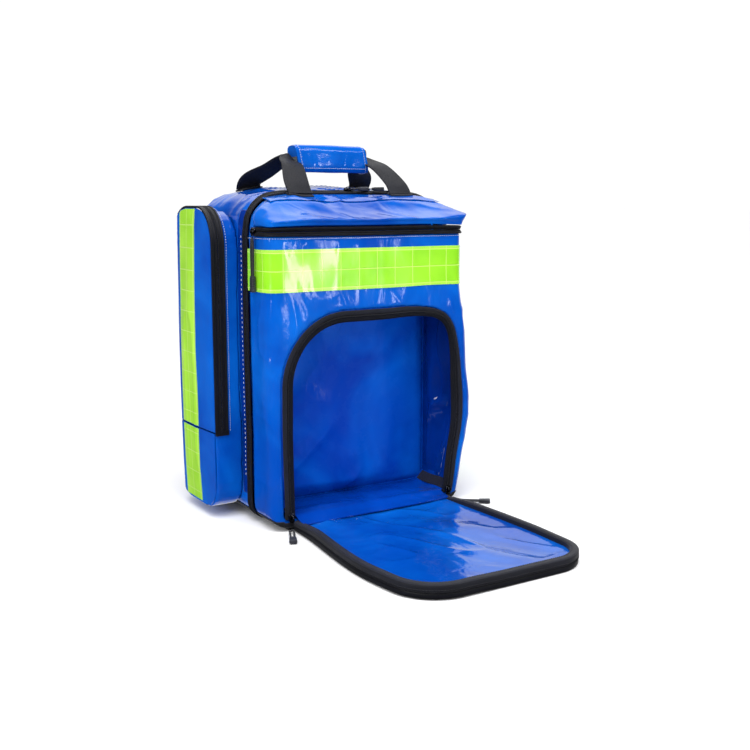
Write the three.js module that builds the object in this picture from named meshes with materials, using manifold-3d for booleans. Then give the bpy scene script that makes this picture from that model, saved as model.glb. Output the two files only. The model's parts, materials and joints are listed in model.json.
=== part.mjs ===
// Trauma backpack: a tarpaulin bag of two halves that open like a book, with a zipped lid,
// a front compartment whose door lies open on the ground, a zipped pocket on each side,
// a two-loop carry handle and a padded harness on the back.
// Millimetres. -Y is the front, +X is to the right as seen from the front, +Z is up.
// The origin is on the underside of the rear base panel, below the middle of the bag's width.
import * as THREE from "three";
import { mergeVertices } from "three/addons/utils/BufferGeometryUtils.js";
import Module from "manifold-3d";

const wasm = await Module();
wasm.setup();

// ---- driving dimensions ----
const HALF_WIDTH = 150;
const HEIGHT = 437;
const FRONT_Y = -105;
const REAR_Y = 125;
const ZIP_Y = -38; // plane where the two halves meet
const WALL = 4; // padded tarpaulin wall
const GAP = 0.3; // clearance between neighbouring pieces
const BASE_THICK = 3.7; // base panels under the shells
const SHELL_Z = BASE_THICK + GAP;
const TOP_RADIUS = 34; // rounding of the body's top corners, seen from the front
const BOTTOM_RADIUS = 24;
const PLAN_RADIUS = 16; // rounding of the front's upright corners
const BACK_RADIUS = 40; // rounding of the top rear edge
const TAPE_WIDTH = 6.4; // one half of a zip, across its run
const LID_TAPE = TAPE_WIDTH - 1; // the same at the lid, with its gap
const TAPE_PROUD = 0.8; // how far a tape stands out of the cloth
const ARC_STEPS = 3; // each rounded corner has twice as many straight steps
const BEYOND = 200; // a cut that reaches well past the bag

const LID_Z = 387; // line of the lid's zip
const LID_STRIP = 14; // fixed strip of top between the lid and the main zip
const LID_FRONT_Z = 412; // top edge of the lid's front flap
const LID_OVERHANG = 7;

const ARCH_HALF = 119; // clear half width of the front opening
const ARCH_TAPE = 14; // zip tape and binding round the opening
const ARCH_BOTTOM = 16;
const ARCH_TOP = 270;
const ARCH_RADIUS = 80;

const DOOR_HALF = 122;
const DOOR_LENGTH = 296;
const DOOR_RADIUS = 52;
const DOOR_BORDER = 10;
const DOOR_THICK = 14; // the rim's height
const DOOR_PANEL = 4; // the panel's thickness
const DOOR_PANEL_DROP = 1; // how far the panel lies below the rim's top
const DOOR_AXIS_Y = FRONT_Y - 1.5;

const BAND_Z = 311;
const BAND_HEIGHT = 54;

const POCKET_DEPTH = 38; // how far a side pocket stands out
const POCKET_FRONT = -14;
const POCKET_REAR = 120;
const POCKET_BOTTOM = 12;
const POCKET_TOP = 411;
const POCKET_FOLD_Z = 120; // where the pocket's flap hinges
const POCKET_WALL = 3;
const POCKET_TAPE = 11;

const GRIP_HALF = 59;
const GRIP_Y = 10;
const GRIP_Z = 482;
const WEBBING = 3;

const SLIDER_WIDTH = 8.4;
const SLIDER_THICK = 4;
const SLIDER_LENGTH = 13;

// ---- materials ----
const finish = (color, roughness, metalness = 0) =>
  new THREE.MeshStandardMaterial({ color, roughness, metalness });
const TARPAULIN = finish(0x0a4fc4, 0.22);
const LINING = finish(0x0a46b8, 0.35);
const ZIP_TAPE = finish(0x1c1c22, 0.8);
const NYLON = finish(0x16161a, 0.85);
const REFLECTIVE = finish(0xb4f53c, 0.3);
const METAL = finish(0x8c8c90, 0.35, 1);
const CORD = finish(0x2a2a30, 0.6);
const FOAM = finish(0x1e1f24, 0.9);
const PLASTIC = finish(0x202024, 0.5);
const ELASTIC = finish(0x24242a, 0.85);

// ---- solids ----
function solidOf(geometry) {
  const bare = geometry.index ? geometry.toNonIndexed() : geometry;
  const positions = new THREE.BufferGeometry();
  positions.setAttribute("position", bare.getAttribute("position"));
  const merged = mergeVertices(positions, 1e-4);
  const vertProperties = new Float32Array(merged.attributes.position.array);
  const triVerts = new Uint32Array(merged.index.array);
  return new wasm.Manifold(new wasm.Mesh({ numProp: 3, vertProperties, triVerts }));
}

function geometryOf(solid) {
  const mesh = solid.getMesh();
  const geometry = new THREE.BufferGeometry();
  const positions = new Float32Array(mesh.vertProperties);
  geometry.setAttribute("position", new THREE.BufferAttribute(positions, 3));
  geometry.setIndex(Array.from(mesh.triVerts));
  return geometry;
}

function extruded(shape, depth) {
  return new THREE.ExtrudeGeometry(shape, {
    depth,
    bevelEnabled: false,
    curveSegments: ARC_STEPS,
  });
}

// A shape drawn in x and z, run from y0 to y1.
function prismY(shape, y0, y1) {
  return solidOf(extruded(shape, y1 - y0).rotateX(Math.PI / 2).translate(0, y1, 0));
}

// A shape drawn in y and z, run from x0 to x1.
function prismX(shape, x0, x1) {
  const turn = new THREE.Matrix4().makeBasis(
    new THREE.Vector3(0, 1, 0),
    new THREE.Vector3(0, 0, 1),
    new THREE.Vector3(1, 0, 0),
  );
  return solidOf(extruded(shape, x1 - x0).applyMatrix4(turn).translate(x0, 0, 0));
}

// A shape drawn in x and y, run from z0 to z1.
function prismZ(shape, z0, z1) {
  return solidOf(extruded(shape, z1 - z0).translate(0, 0, z0));
}

function box(x0, x1, y0, y1, z0, z1) {
  const geometry = new THREE.BoxGeometry(x1 - x0, y1 - y0, z1 - z0);
  return solidOf(geometry.translate((x0 + x1) / 2, (y0 + y1) / 2, (z0 + z1) / 2));
}

// A rectangle from (a0, b0) to (a1, b1); radii are those of its low-b and high-b corners,
// each a number or a pair for the low-a and high-a side.
function roundedRect(a0, b0, a1, b1, low, high) {
  const [lowA, lowB] = Array.isArray(low) ? low : [low, low];
  const [highA, highB] = Array.isArray(high) ? high : [high, high];
  const shape = new THREE.Shape();
  shape.moveTo(a0 + lowA, b0);
  shape.lineTo(a1 - lowB, b0);
  if (lowB) shape.absarc(a1 - lowB, b0 + lowB, lowB, -Math.PI / 2, 0);
  shape.lineTo(a1, b1 - highB);
  if (highB) shape.absarc(a1 - highB, b1 - highB, highB, 0, Math.PI / 2);
  shape.lineTo(a0 + highA, b1);
  if (highA) shape.absarc(a0 + highA, b1 - highA, highA, Math.PI / 2, Math.PI);
  shape.lineTo(a0, b0 + lowA);
  if (lowA) shape.absarc(a0 + lowA, b0 + lowA, lowA, Math.PI, 1.5 * Math.PI);
  return shape;
}

function polygon(points) {
  return new THREE.Shape(points.map(([a, b]) => new THREE.Vector2(a, b)));
}

// ---- outlines of the body, set in from the outer face ----
function bodyFace(inset) {
  return roundedRect(
    -HALF_WIDTH + inset,
    SHELL_Z + inset,
    HALF_WIDTH - inset,
    HEIGHT - inset,
    BOTTOM_RADIUS - inset,
    TOP_RADIUS - inset,
  );
}

function frontPlan(inset, rearY) {
  const radius = PLAN_RADIUS - inset;
  return roundedRect(
    -HALF_WIDTH + inset,
    FRONT_Y + inset,
    HALF_WIDTH - inset,
    rearY,
    radius,
    0,
  );
}

function archFace(outset) {
  return roundedRect(
    -ARCH_HALF - outset,
    ARCH_BOTTOM,
    ARCH_HALF + outset,
    ARCH_TOP + outset,
    0,
    ARCH_RADIUS + outset,
  );
}

// ---- the group ----
const backpack = new THREE.Group();

function add(name, solid, material, parent = backpack) {
  const mesh = new THREE.Mesh(geometryOf(solid), material);
  mesh.name = name;
  parent.add(mesh);
  return mesh;
}

// ---- rear half: the side that the harness is on ----
const REAR_EDGE = ZIP_Y + GAP + TAPE_WIDTH + GAP;
const FRONT_EDGE = ZIP_Y - GAP - TAPE_WIDTH - GAP;

function rearBlock(inset) {
  const side = roundedRect(
    REAR_EDGE - (inset ? 1 : 0),
    SHELL_Z + inset,
    REAR_Y - inset,
    HEIGHT - inset,
    [0, BOTTOM_RADIUS - inset],
    [0, BACK_RADIUS - inset],
  );
  const face = prismY(bodyFace(inset), REAR_EDGE - (inset ? 1 : 0), REAR_Y - inset);
  return face.intersect(prismX(side, -HALF_WIDTH, HALF_WIDTH));
}

function rearHalf() {
  add("rear_shell", rearBlock(0).subtract(rearBlock(WALL)), TARPAULIN);
  const baseInset = BOTTOM_RADIUS;
  const base = roundedRect(
    -HALF_WIDTH + baseInset,
    REAR_EDGE,
    HALF_WIDTH - baseInset,
    REAR_Y - baseInset,
    1,
    8,
  );
  add("base_panel_rear", prismZ(base, 0, BASE_THICK), NYLON);

  const sheetRear = REAR_Y - WALL - GAP;
  const sheetThick = 2;
  const sheet = roundedRect(-118, 40, 118, 372, 20, 20);
  add("frame_sheet", prismY(sheet, sheetRear - sheetThick, sheetRear), PLASTIC);
  const panelRear = sheetRear - sheetThick - GAP;
  const panelThick = 3;
  const panel = roundedRect(-124, 34, 124, 378, 22, 22);
  add("organiser_panel", prismY(panel, panelRear - panelThick, panelRear), LINING);
  elasticRows(panelRear - panelThick - GAP);
}

// Each row is one elastic band that rises in four loops and lies flat between them.
const LOOP_COUNT = 4;
const LOOP_PITCH = 56;
const LOOP_WIDTH = 40;
const LOOP_RISE = 14;
const LOOP_THICK = 1.6;
const LOOP_HEIGHT = 38;
const ROW_HEIGHTS = [120, 270];

function elasticRows(backY) {
  const start = -(LOOP_COUNT * LOOP_PITCH) / 2;
  const outer = [];
  const inner = [];
  for (let loop = 0; loop < LOOP_COUNT; loop += 1) {
    const middle = start + (loop + 0.5) * LOOP_PITCH;
    for (const [across, rise] of [[-0.5, 0], [-0.42, 0.7], [-0.2, 1], [0.2, 1], [0.42, 0.7], [0.5, 0]]) {
      const x = middle + across * LOOP_WIDTH;
      const y = backY - LOOP_THICK - rise * LOOP_RISE;
      const thicken = 1 - (2 * Math.abs(across) * LOOP_THICK) / (0.5 * LOOP_WIDTH);
      outer.push([x, y]);
      inner.push([middle + across * LOOP_WIDTH * thicken, y + LOOP_THICK]);
    }
  }
  const first = [start, backY - LOOP_THICK];
  const last = [-start, backY - LOOP_THICK];
  const closing = [[-start, backY], ...inner.reverse(), [start, backY]];
  const band = polygon([first, ...outer, last, ...closing]);
  ROW_HEIGHTS.forEach((z, index) => {
    add(`elastic_row_${index + 1}`, prismZ(band, z, z + LOOP_HEIGHT), ELASTIC);
  });
}

// ---- front half: lid, front compartment and its door ----
function frontBlock(inset, rearY) {
  const top = HEIGHT + 1;
  const plan = prismZ(frontPlan(inset, rearY), 0, top);
  return plan.intersect(prismY(bodyFace(inset), FRONT_Y - 1, rearY));
}

function frontHalf() {
  const lidRear = FRONT_EDGE - LID_STRIP;
  const rim = LID_Z - GAP - LID_TAPE;
  const lidSpace = box(-BEYOND, BEYOND, -BEYOND, lidRear, rim, HEIGHT + BEYOND);
  const archHole = prismY(archFace(ARCH_TAPE + GAP), FRONT_Y - 5, FRONT_Y + WALL + 5);
  const shell = frontBlock(0, FRONT_EDGE)
    .subtract(frontBlock(WALL, FRONT_EDGE + 1))
    .subtract(lidSpace)
    .subtract(archHole);
  add("front_shell", shell, TARPAULIN);

  const trayRear = -20;
  const trayWall = 3;
  const tray = (inset, y0, y1) =>
    prismY(
      roundedRect(-140 + inset, 14 + inset, 140 - inset, 423 - inset, 24 - inset, 26 - inset),
      y0,
      y1,
    );
  const divider = tray(0, FRONT_EDGE + GAP, trayRear);
  const dividerInside = tray(trayWall, FRONT_EDGE - 1, trayRear - trayWall);
  add("front_divider", divider.subtract(dividerInside), LINING);

  const base = roundedRect(
    -HALF_WIDTH + BOTTOM_RADIUS,
    FRONT_Y + 3,
    HALF_WIDTH - BOTTOM_RADIUS,
    FRONT_EDGE,
    12,
    1,
  );
  add("base_panel_front", prismZ(base, 0, BASE_THICK), NYLON);

  const tapeFront = FRONT_Y - TAPE_PROUD;
  const arch = prismY(archFace(ARCH_TAPE), tapeFront, FRONT_Y + 2.4);
  const archHollow = prismY(archFace(0), FRONT_Y - 5, FRONT_Y + 5);
  add("door_zip_fixed_tape", arch.subtract(archHollow), ZIP_TAPE);

  const bandOuter = prismZ(frontPlan(-1.1, FRONT_EDGE - GAP), BAND_Z, BAND_Z + BAND_HEIGHT);
  const bandInner = prismZ(frontPlan(-GAP, FRONT_EDGE + 1), 0, HEIGHT);
  add("reflective_band", bandOuter.subtract(bandInner), REFLECTIVE);

  const tapeRing = (z0, z1, outset) => {
    const outer = prismZ(frontPlan(-outset, lidRear - 1), z0, z1);
    return outer.subtract(prismZ(frontPlan(2.6, lidRear + 1), z0 - 1, z1 + 1));
  };
  add("lid_zip_lower_tape", tapeRing(LID_Z - LID_TAPE, LID_Z - GAP, TAPE_PROUD), ZIP_TAPE);
  add("lid_zip_upper_tape", tapeRing(LID_Z + GAP, LID_Z + LID_TAPE, TAPE_PROUD), ZIP_TAPE);
  lid(lidRear - 2 * GAP);
}

function lid(rearY) {
  const bottom = LID_Z + LID_TAPE + GAP;
  const lidBlock = (inset) => {
    const front = FRONT_Y - LID_OVERHANG + inset;
    const profile = polygon([
      [rearY + (inset ? 1 : 0), bottom - inset],
      [rearY + (inset ? 1 : 0), HEIGHT - inset],
      [rearY - 14, HEIGHT - 1.5 - inset],
      [front + 12, LID_FRONT_Z + 9 - inset],
      [front + 2, LID_FRONT_Z + 2 - inset],
      [front, LID_FRONT_Z - 3 - inset],
      [FRONT_Y - 1 + inset, bottom - inset],
    ]);
    const plan = roundedRect(
      -HALF_WIDTH - 1 + inset,
      front,
      HALF_WIDTH + 1 - inset,
      rearY + (inset ? 1 : 0),
      PLAN_RADIUS - inset,
      0,
    );
    const face = roundedRect(
      -HALF_WIDTH - 1 + inset,
      bottom - inset,
      HALF_WIDTH + 1 - inset,
      HEIGHT - inset,
      0,
      TOP_RADIUS - 6 - inset,
    );
    return prismX(profile, -HALF_WIDTH - 5, HALF_WIDTH + 5)
      .intersect(prismZ(plan, bottom - 5, HEIGHT + 5))
      .intersect(prismY(face, front - 5, rearY + 5));
  };
  add("lid", lidBlock(0).subtract(lidBlock(WALL)), TARPAULIN);
}

// The door lies open on the ground in front of the bag, inner face up.
function door() {
  const far = DOOR_AXIS_Y - DOOR_LENGTH;
  const near = DOOR_AXIS_Y - 1.5;
  const outline = (inset) =>
    roundedRect(
      -DOOR_HALF + inset,
      far + inset,
      DOOR_HALF - inset,
      near - inset,
      DOOR_RADIUS - inset,
      0,
    );
  const border = prismZ(outline(0), 0, DOOR_THICK);
  const window = prismZ(outline(DOOR_BORDER), -1, DOOR_THICK + 1);
  add("door_binding", border.subtract(window), ZIP_TAPE);
  const panelTop = DOOR_THICK - DOOR_PANEL_DROP;
  const panel = prismZ(outline(DOOR_BORDER + GAP), panelTop - DOOR_PANEL, panelTop);
  add("door_panel", panel, TARPAULIN);
}

// ---- main zip and the fabric spine that the halves turn on ----
function mainZip() {
  const outset = 1;
  const inside = 2.5;
  const spine = box(100, 200, -100, 100, 34, 399);
  const ring = (y0, y1) =>
    prismY(bodyFace(-outset), y0, y1)
      .subtract(prismY(bodyFace(inside), y0 - 1, y1 + 1))
      .subtract(spine);
  add("main_zip_front_tape", ring(ZIP_Y - GAP - TAPE_WIDTH, ZIP_Y - GAP), ZIP_TAPE);
  add("main_zip_rear_tape", ring(ZIP_Y + GAP, ZIP_Y + GAP + TAPE_WIDTH), ZIP_TAPE);
  const inner = HALF_WIDTH + GAP;
  const outer = inner + 1.4;
  const reach = 22;
  add("spine_front", box(inner, outer, ZIP_Y - reach, ZIP_Y - GAP, 36, BAND_Z - 4), NYLON);
  add("spine_rear", box(inner, outer, ZIP_Y + GAP, ZIP_Y + reach, 36, 397), NYLON);
}

// ---- side pockets: side is -1 on the left and +1 on the right ----
function sidePocket(name, side) {
  const inner = HALF_WIDTH + GAP;
  const face = HALF_WIDTH + POCKET_DEPTH;
  const flapThick = 4;
  const span = (shape, x0, x1) =>
    side < 0 ? prismX(shape, -x1, -x0) : prismX(shape, x0, x1);
  const outline = (inset) =>
    roundedRect(
      POCKET_FRONT + inset,
      POCKET_BOTTOM + inset,
      POCKET_REAR - inset,
      POCKET_TOP - inset,
      [36 - inset, 44 - inset],
      [46 - inset, 54 - inset],
    );
  const above = (z, x0, x1) => {
    const [low, high] = side < 0 ? [-x1, -x0] : [x0, x1];
    return box(low, high, POCKET_FRONT - 20, POCKET_REAR + 20, z, HEIGHT);
  };
  const rim = face - flapThick;
  const shell = span(outline(0), inner, face)
    .subtract(span(outline(POCKET_WALL), inner - 1, face - WALL))
    .subtract(span(outline(POCKET_WALL), inner - 1, face + 1).intersect(above(POCKET_FOLD_Z, 100, 300)))
    .subtract(above(POCKET_FOLD_Z, rim - GAP, 300));
  add(`${name}_shell`, shell, TARPAULIN);

  const upper = above(POCKET_FOLD_Z + GAP, 100, 300);
  const tape = span(outline(0), rim, face)
    .subtract(span(outline(POCKET_TAPE), rim - 1, face + 1))
    .intersect(upper);
  add(`${name}_zip_tape`, tape, ZIP_TAPE);
  const flap = span(outline(POCKET_TAPE + GAP), rim, face).intersect(
    above(POCKET_FOLD_Z + 1, 100, 300),
  );
  add(`${name}_flap`, flap, TARPAULIN);

  const stripeFrom = 34;
  const stripeTo = 86;
  const strip = (z0, z1) =>
    span(roundedRect(stripeFrom, z0, stripeTo, z1, 0, 0), face + GAP, face + GAP + 0.7);
  const flapTop = POCKET_TOP - POCKET_TAPE - GAP - 1;
  add(`${name}_stripe_upper`, strip(POCKET_FOLD_Z + 2, flapTop), REFLECTIVE);
  add(`${name}_stripe_lower`, strip(POCKET_BOTTOM + 6, POCKET_FOLD_Z - 2), REFLECTIVE);
  pocketSlider(name, side, face + GAP);
}

function pocketSlider(name, side, face) {
  const middle = POCKET_REAR - POCKET_TAPE / 2;
  const z = 132;
  const thick = SLIDER_THICK;
  const across = (x0, x1) => (side < 0 ? [-x1, -x0] : [x0, x1]);
  const body = box(
    ...across(face, face + thick),
    middle - SLIDER_WIDTH / 2,
    middle + SLIDER_WIDTH / 2,
    z,
    z + SLIDER_LENGTH,
  );
  const tag = box(...across(face + 1, face + thick), middle - 2.5, middle + 2.5, z - 30, z + 1);
  const end = box(...across(face + 0.5, face + 6), middle - 4, middle + 4, z - 46, z - 29);
  add(`${name}_slider`, body.add(tag).add(end), METAL);
}

// ---- carry handle ----
// A loop of flat webbing: two legs that spread down to the bag and a bar that the hand holds.
// It is drawn flat, standing on its feet, and leaned over by its group.
function loopShape(reach, footSpread) {
  const barDepth = 20;
  const low = reach - barDepth / 2;
  const high = reach + barDepth / 2;
  const footIn = footSpread - 18;
  const footOut = footSpread + 18;
  const neck = GRIP_HALF + 2;
  return polygon([
    [-footOut, 0],
    [-footIn, 0],
    [-footIn, 8],
    [-neck, low],
    [neck, low],
    [footIn, 8],
    [footIn, 0],
    [footOut, 0],
    [footOut, 10],
    [neck + 17, low + 8],
    [neck + 8, high],
    [-neck - 8, high],
    [-neck - 17, low + 8],
    [-footOut, 10],
  ]);
}

const FRONT_FOOT_Y = -54;
const REAR_FOOT_Y = 80;
const FOOT_Z = HEIGHT + 4.2;

function leaningLoop(name, footY, barY, barZ, footSpread) {
  const reach = Math.hypot(barY - footY, barZ - FOOT_Z);
  const lean = Math.atan2(barY - footY, barZ - FOOT_Z);
  const flat = prismY(loopShape(reach, footSpread), -WEBBING / 2, WEBBING / 2);
  const group = new THREE.Group();
  group.position.set(0, footY, FOOT_Z);
  group.rotation.x = -lean;
  backpack.add(group);
  add(name, flat, NYLON, group);
}

function handle() {
  leaningLoop("handle_front_loop", FRONT_FOOT_Y, GRIP_Y, GRIP_Z, 78);
  leaningLoop("handle_rear_loop", REAR_FOOT_Y, GRIP_Y + 27, GRIP_Z - 2, 90);
  const depth = 30;
  const tall = 34;
  const thick = 4;
  const section = (inset) =>
    roundedRect(
      GRIP_Y - depth / 2 + inset,
      GRIP_Z - tall / 2 + inset,
      GRIP_Y + depth / 2 - inset,
      GRIP_Z + tall / 2 - inset,
      11 - inset,
      11 - inset,
    );
  const wrap = prismX(section(0), -GRIP_HALF, GRIP_HALF);
  const hollow = prismX(section(thick), -GRIP_HALF - 1, GRIP_HALF + 1);
  add("grip_wrap", wrap.subtract(hollow), TARPAULIN);
}

// ---- zip sliders and their pulls ----
// A pull is a cord loop with a moulded end, drawn lying along +X from its hinge.
function pullSolid(cordLength, endLength) {
  const cord = box(0, cordLength + 1, -2, 2, -1.5, 1.5);
  const end = box(cordLength, cordLength + endLength, -4.2, 4.2, -2.6, 2.6);
  return cord.add(end);
}

function addPull(name, place, direction, cordLength, endLength) {
  const group = new THREE.Group();
  group.position.set(...place);
  const [turnX, turnY, turnZ] = direction;
  group.rotation.set(turnX, turnY, turnZ, "ZYX");
  backpack.add(group);
  add(name, pullSolid(cordLength, endLength), CORD, group);
}

const DOOR_SLIDER_X = DOOR_HALF + 1.2 + SLIDER_WIDTH / 2;
const DOOR_SLIDER_Z = 12;
const SLIDER_FRONT = FRONT_Y - TAPE_PROUD - GAP;

function doorSlider(name, side) {
  const middle = side * DOOR_SLIDER_X;
  const body = box(
    middle - SLIDER_WIDTH / 2,
    middle + SLIDER_WIDTH / 2,
    SLIDER_FRONT - SLIDER_THICK,
    SLIDER_FRONT,
    DOOR_SLIDER_Z,
    DOOR_SLIDER_Z + SLIDER_LENGTH,
  );
  add(name, body, METAL);
}

const MAIN_SLIDER_X = [4, 30];
const TOP_FACE = HEIGHT + 1 + GAP;

function zipPulls() {
  doorSlider("door_slider_left", -1);
  doorSlider("door_slider_right", 1);
  const pullZ = 3.4;
  addPull(
    "door_pull_left",
    [-DOOR_SLIDER_X, SLIDER_FRONT - SLIDER_THICK - GAP, pullZ],
    [0, 0, -Math.PI / 2],
    26,
    13,
  );
  addPull(
    "door_pull_right",
    [DOOR_SLIDER_X + SLIDER_WIDTH / 2 + GAP, SLIDER_FRONT - SLIDER_THICK / 2 - 2.4, pullZ],
    [0, 0, 0],
    28,
    16,
  );
  MAIN_SLIDER_X.forEach((x, index) => {
    const name = `main_slider_${index + 1}`;
    const half = SLIDER_LENGTH / 2;
    const body = box(
      x - half,
      x + half,
      ZIP_Y - SLIDER_WIDTH / 2,
      ZIP_Y + SLIDER_WIDTH / 2,
      TOP_FACE,
      TOP_FACE + SLIDER_THICK,
    );
    add(name, body, METAL);
    const place = [x + (index ? 3 : -2), FRONT_EDGE - 2.2, TOP_FACE + 2.7];
    addPull(`main_pull_${index + 1}`, place, [0, 0, 0], index ? 9 : 15, 11);
  });
  const sideFace = -HALF_WIDTH - TAPE_PROUD - GAP;
  const sliderY = FRONT_EDGE - LID_STRIP - 3 - SLIDER_LENGTH / 2;
  const lidSlider = box(
    sideFace - SLIDER_THICK,
    sideFace,
    sliderY - SLIDER_LENGTH / 2,
    sliderY + SLIDER_LENGTH / 2,
    LID_Z - SLIDER_WIDTH / 2,
    LID_Z + SLIDER_WIDTH / 2,
  );
  add("lid_slider", lidSlider, METAL);
  addPull(
    "lid_pull",
    [sideFace - 4.4, sliderY, LID_Z - SLIDER_WIDTH / 2 - GAP],
    [Math.PI / 2, Math.PI / 2, 0],
    52,
    20,
  );
}

// ---- harness on the back ----
const STRAP_WIDTH = 56;
const STRAP_THICK = 10;
const STRAP_X = 62; // middle of each shoulder strap
const PAD_DEPTH = 12;
const YOKE_DEPTH = 3.4;
const TAIL_X = 122; // where each lower webbing meets the bag's bottom corner
const TAIL_HALF = 12.5;
const TAIL_TOP = 146;
const TAIL_BOTTOM = 16;

// A band of constant thickness along points in y and z.
function bandShape(points, thick) {
  const curve = new THREE.SplineCurve(points.map(([y, z]) => new THREE.Vector2(y, z)));
  const steps = 14;
  const outer = [];
  const inner = [];
  for (let i = 0; i <= steps; i += 1) {
    const at = curve.getPointAt(i / steps);
    const along = curve.getTangentAt(i / steps);
    outer.push([at.x - (along.y * thick) / 2, at.y + (along.x * thick) / 2]);
    inner.push([at.x + (along.y * thick) / 2, at.y - (along.x * thick) / 2]);
  }
  return polygon([...inner, ...outer.reverse()]);
}

function harness() {
  const padFront = REAR_Y + GAP;
  const padRear = padFront + PAD_DEPTH;
  for (const [name, x0, x1, z0, z1] of [
    ["back_pad_left", -106, -14, 122, 336],
    ["back_pad_right", 14, 106, 122, 336],
    ["lumbar_pad", -82, 82, 34, 108],
  ]) {
    const pad = roundedRect(x0, z0, x1, z1, 20, 20);
    add(name, prismY(pad, padFront, padRear), FOAM);
  }
  const yoke = roundedRect(-96, 348, 96, 386, 8, 8);
  add("harness_yoke", prismY(yoke, padFront, padFront + YOKE_DEPTH), NYLON);
  const strapTop = padFront + YOKE_DEPTH + GAP;
  const path = [
    [strapTop + STRAP_THICK / 2, 384],
    [strapTop + 22, 368],
    [strapTop + 40, 320],
    [strapTop + 42, 250],
    [strapTop + 30, 180],
  ];
  const strap = bandShape(path, STRAP_THICK);
  const lockRear = strapTop + 36;
  const webbing = bandShape(
    [
      [lockRear - 12, TAIL_TOP],
      [lockRear - 22, 96],
      [padFront + 3, 30],
      [padFront + 2, TAIL_BOTTOM],
    ],
    2.4,
  );
  for (const [label, side] of [["left", -1], ["right", 1]]) {
    const middle = side * STRAP_X;
    const half = STRAP_WIDTH / 2;
    add(`shoulder_strap_${label}`, prismX(strap, middle - half, middle + half), FOAM);
    add(
      `ladder_lock_${label}`,
      box(middle - 18, middle + 18, lockRear - 17, lockRear - 8, 150, 173),
      PLASTIC,
    );
    add(`strap_webbing_${label}`, strapTail(webbing, middle, side * TAIL_X), NYLON);
    const near = side < 0 ? [-34 + GAP, -14 - GAP] : [14 + GAP, 34 - GAP];
    add(`sternum_strap_${label}`, box(...near, strapTop + 38, strapTop + 40.4, 290, 310), NYLON);
  }
  const buckle = roundedRect(-14, 287, 14, 313, 4, 4);
  add("sternum_buckle", prismY(buckle, strapTop + 35, strapTop + 43), PLASTIC);
}

// The lower webbing runs from under the shoulder strap out to the bag's bottom corner,
// so its upright band is sheared sideways as it goes down.
function strapTail(shape, topX, bottomX) {
  const slope = (bottomX - topX) / (TAIL_BOTTOM - TAIL_TOP);
  const shear = new THREE.Matrix4().makeShear(0, 0, 0, 0, slope, 0);
  const upright = geometryOf(prismX(shape, -TAIL_HALF, TAIL_HALF));
  const offset = topX - slope * TAIL_TOP;
  return solidOf(upright.applyMatrix4(shear).translate(offset, 0, 0));
}

rearHalf();
frontHalf();
door();
mainZip();
sidePocket("left_pocket", -1);
sidePocket("right_pocket", 1);
handle();
zipPulls();
harness();

export default backpack;
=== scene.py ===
"""Emergency backpack: the detailed visual model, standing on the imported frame."""
import json
import math

import bmesh
import bpy
import numpy as np
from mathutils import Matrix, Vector

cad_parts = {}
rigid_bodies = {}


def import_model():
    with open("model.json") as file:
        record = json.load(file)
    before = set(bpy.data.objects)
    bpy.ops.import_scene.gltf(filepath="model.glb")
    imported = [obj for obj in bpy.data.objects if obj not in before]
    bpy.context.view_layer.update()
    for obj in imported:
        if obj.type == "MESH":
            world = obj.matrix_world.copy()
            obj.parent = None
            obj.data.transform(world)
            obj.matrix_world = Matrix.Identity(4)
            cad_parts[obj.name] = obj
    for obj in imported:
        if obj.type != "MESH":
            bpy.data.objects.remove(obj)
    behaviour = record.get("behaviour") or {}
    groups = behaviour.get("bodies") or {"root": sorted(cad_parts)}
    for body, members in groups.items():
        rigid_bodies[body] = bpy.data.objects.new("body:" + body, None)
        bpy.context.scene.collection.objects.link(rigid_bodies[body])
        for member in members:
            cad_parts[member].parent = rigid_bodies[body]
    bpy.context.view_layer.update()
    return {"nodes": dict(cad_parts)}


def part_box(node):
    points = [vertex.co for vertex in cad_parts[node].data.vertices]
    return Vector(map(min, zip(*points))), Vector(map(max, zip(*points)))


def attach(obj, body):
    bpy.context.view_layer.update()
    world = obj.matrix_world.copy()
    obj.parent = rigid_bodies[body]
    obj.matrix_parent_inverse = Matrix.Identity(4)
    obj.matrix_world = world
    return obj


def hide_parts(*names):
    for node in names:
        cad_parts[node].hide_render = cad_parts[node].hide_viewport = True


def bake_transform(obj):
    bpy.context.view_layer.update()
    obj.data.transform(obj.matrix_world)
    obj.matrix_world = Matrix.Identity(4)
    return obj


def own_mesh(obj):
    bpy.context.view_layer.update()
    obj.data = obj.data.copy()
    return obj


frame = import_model()

# The bag's main sizes, in metres, as the CAD has them.
HALF_WIDTH = 0.150
FRONT_Y = -0.105
REAR_Y = 0.125
ZIP_Y = -0.038
SHELL_LOW = 0.004
SHELL_TOP = 0.437
TOP_RADIUS = 0.034
BOTTOM_RADIUS = 0.024
PLAN_RADIUS = 0.016
LID_SEAM = 0.387
ARCH_HALF = 0.119
ARCH_LOW = 0.016
ARCH_TOP = 0.270
ARCH_RADIUS = 0.080
BAND_LOW = 0.311
BAND_HIGH = 0.365
DOOR_HALF = 0.122
DOOR_NEAR = -0.1065
DOOR_FAR = -0.4025
DOOR_RADIUS = 0.052

X_AXIS = np.array([1.0, 0.0, 0.0])
Y_AXIS = np.array([0.0, 1.0, 0.0])
Z_AXIS = np.array([0.0, 0.0, 1.0])


# ------------------------------------------------------------------ camera
camera_data = bpy.data.cameras.new("camera")
camera_data.lens = 49.44
camera_data.sensor_width = 36.0
camera_data.clip_end = 100.0
camera = bpy.data.objects.new("camera", camera_data)
camera.location = (-0.717, -1.260, 0.423)
camera.rotation_euler = (math.radians(80.5), 0.0, math.radians(-32.0))
bpy.context.scene.collection.objects.link(camera)
bpy.context.scene.camera = camera


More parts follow.
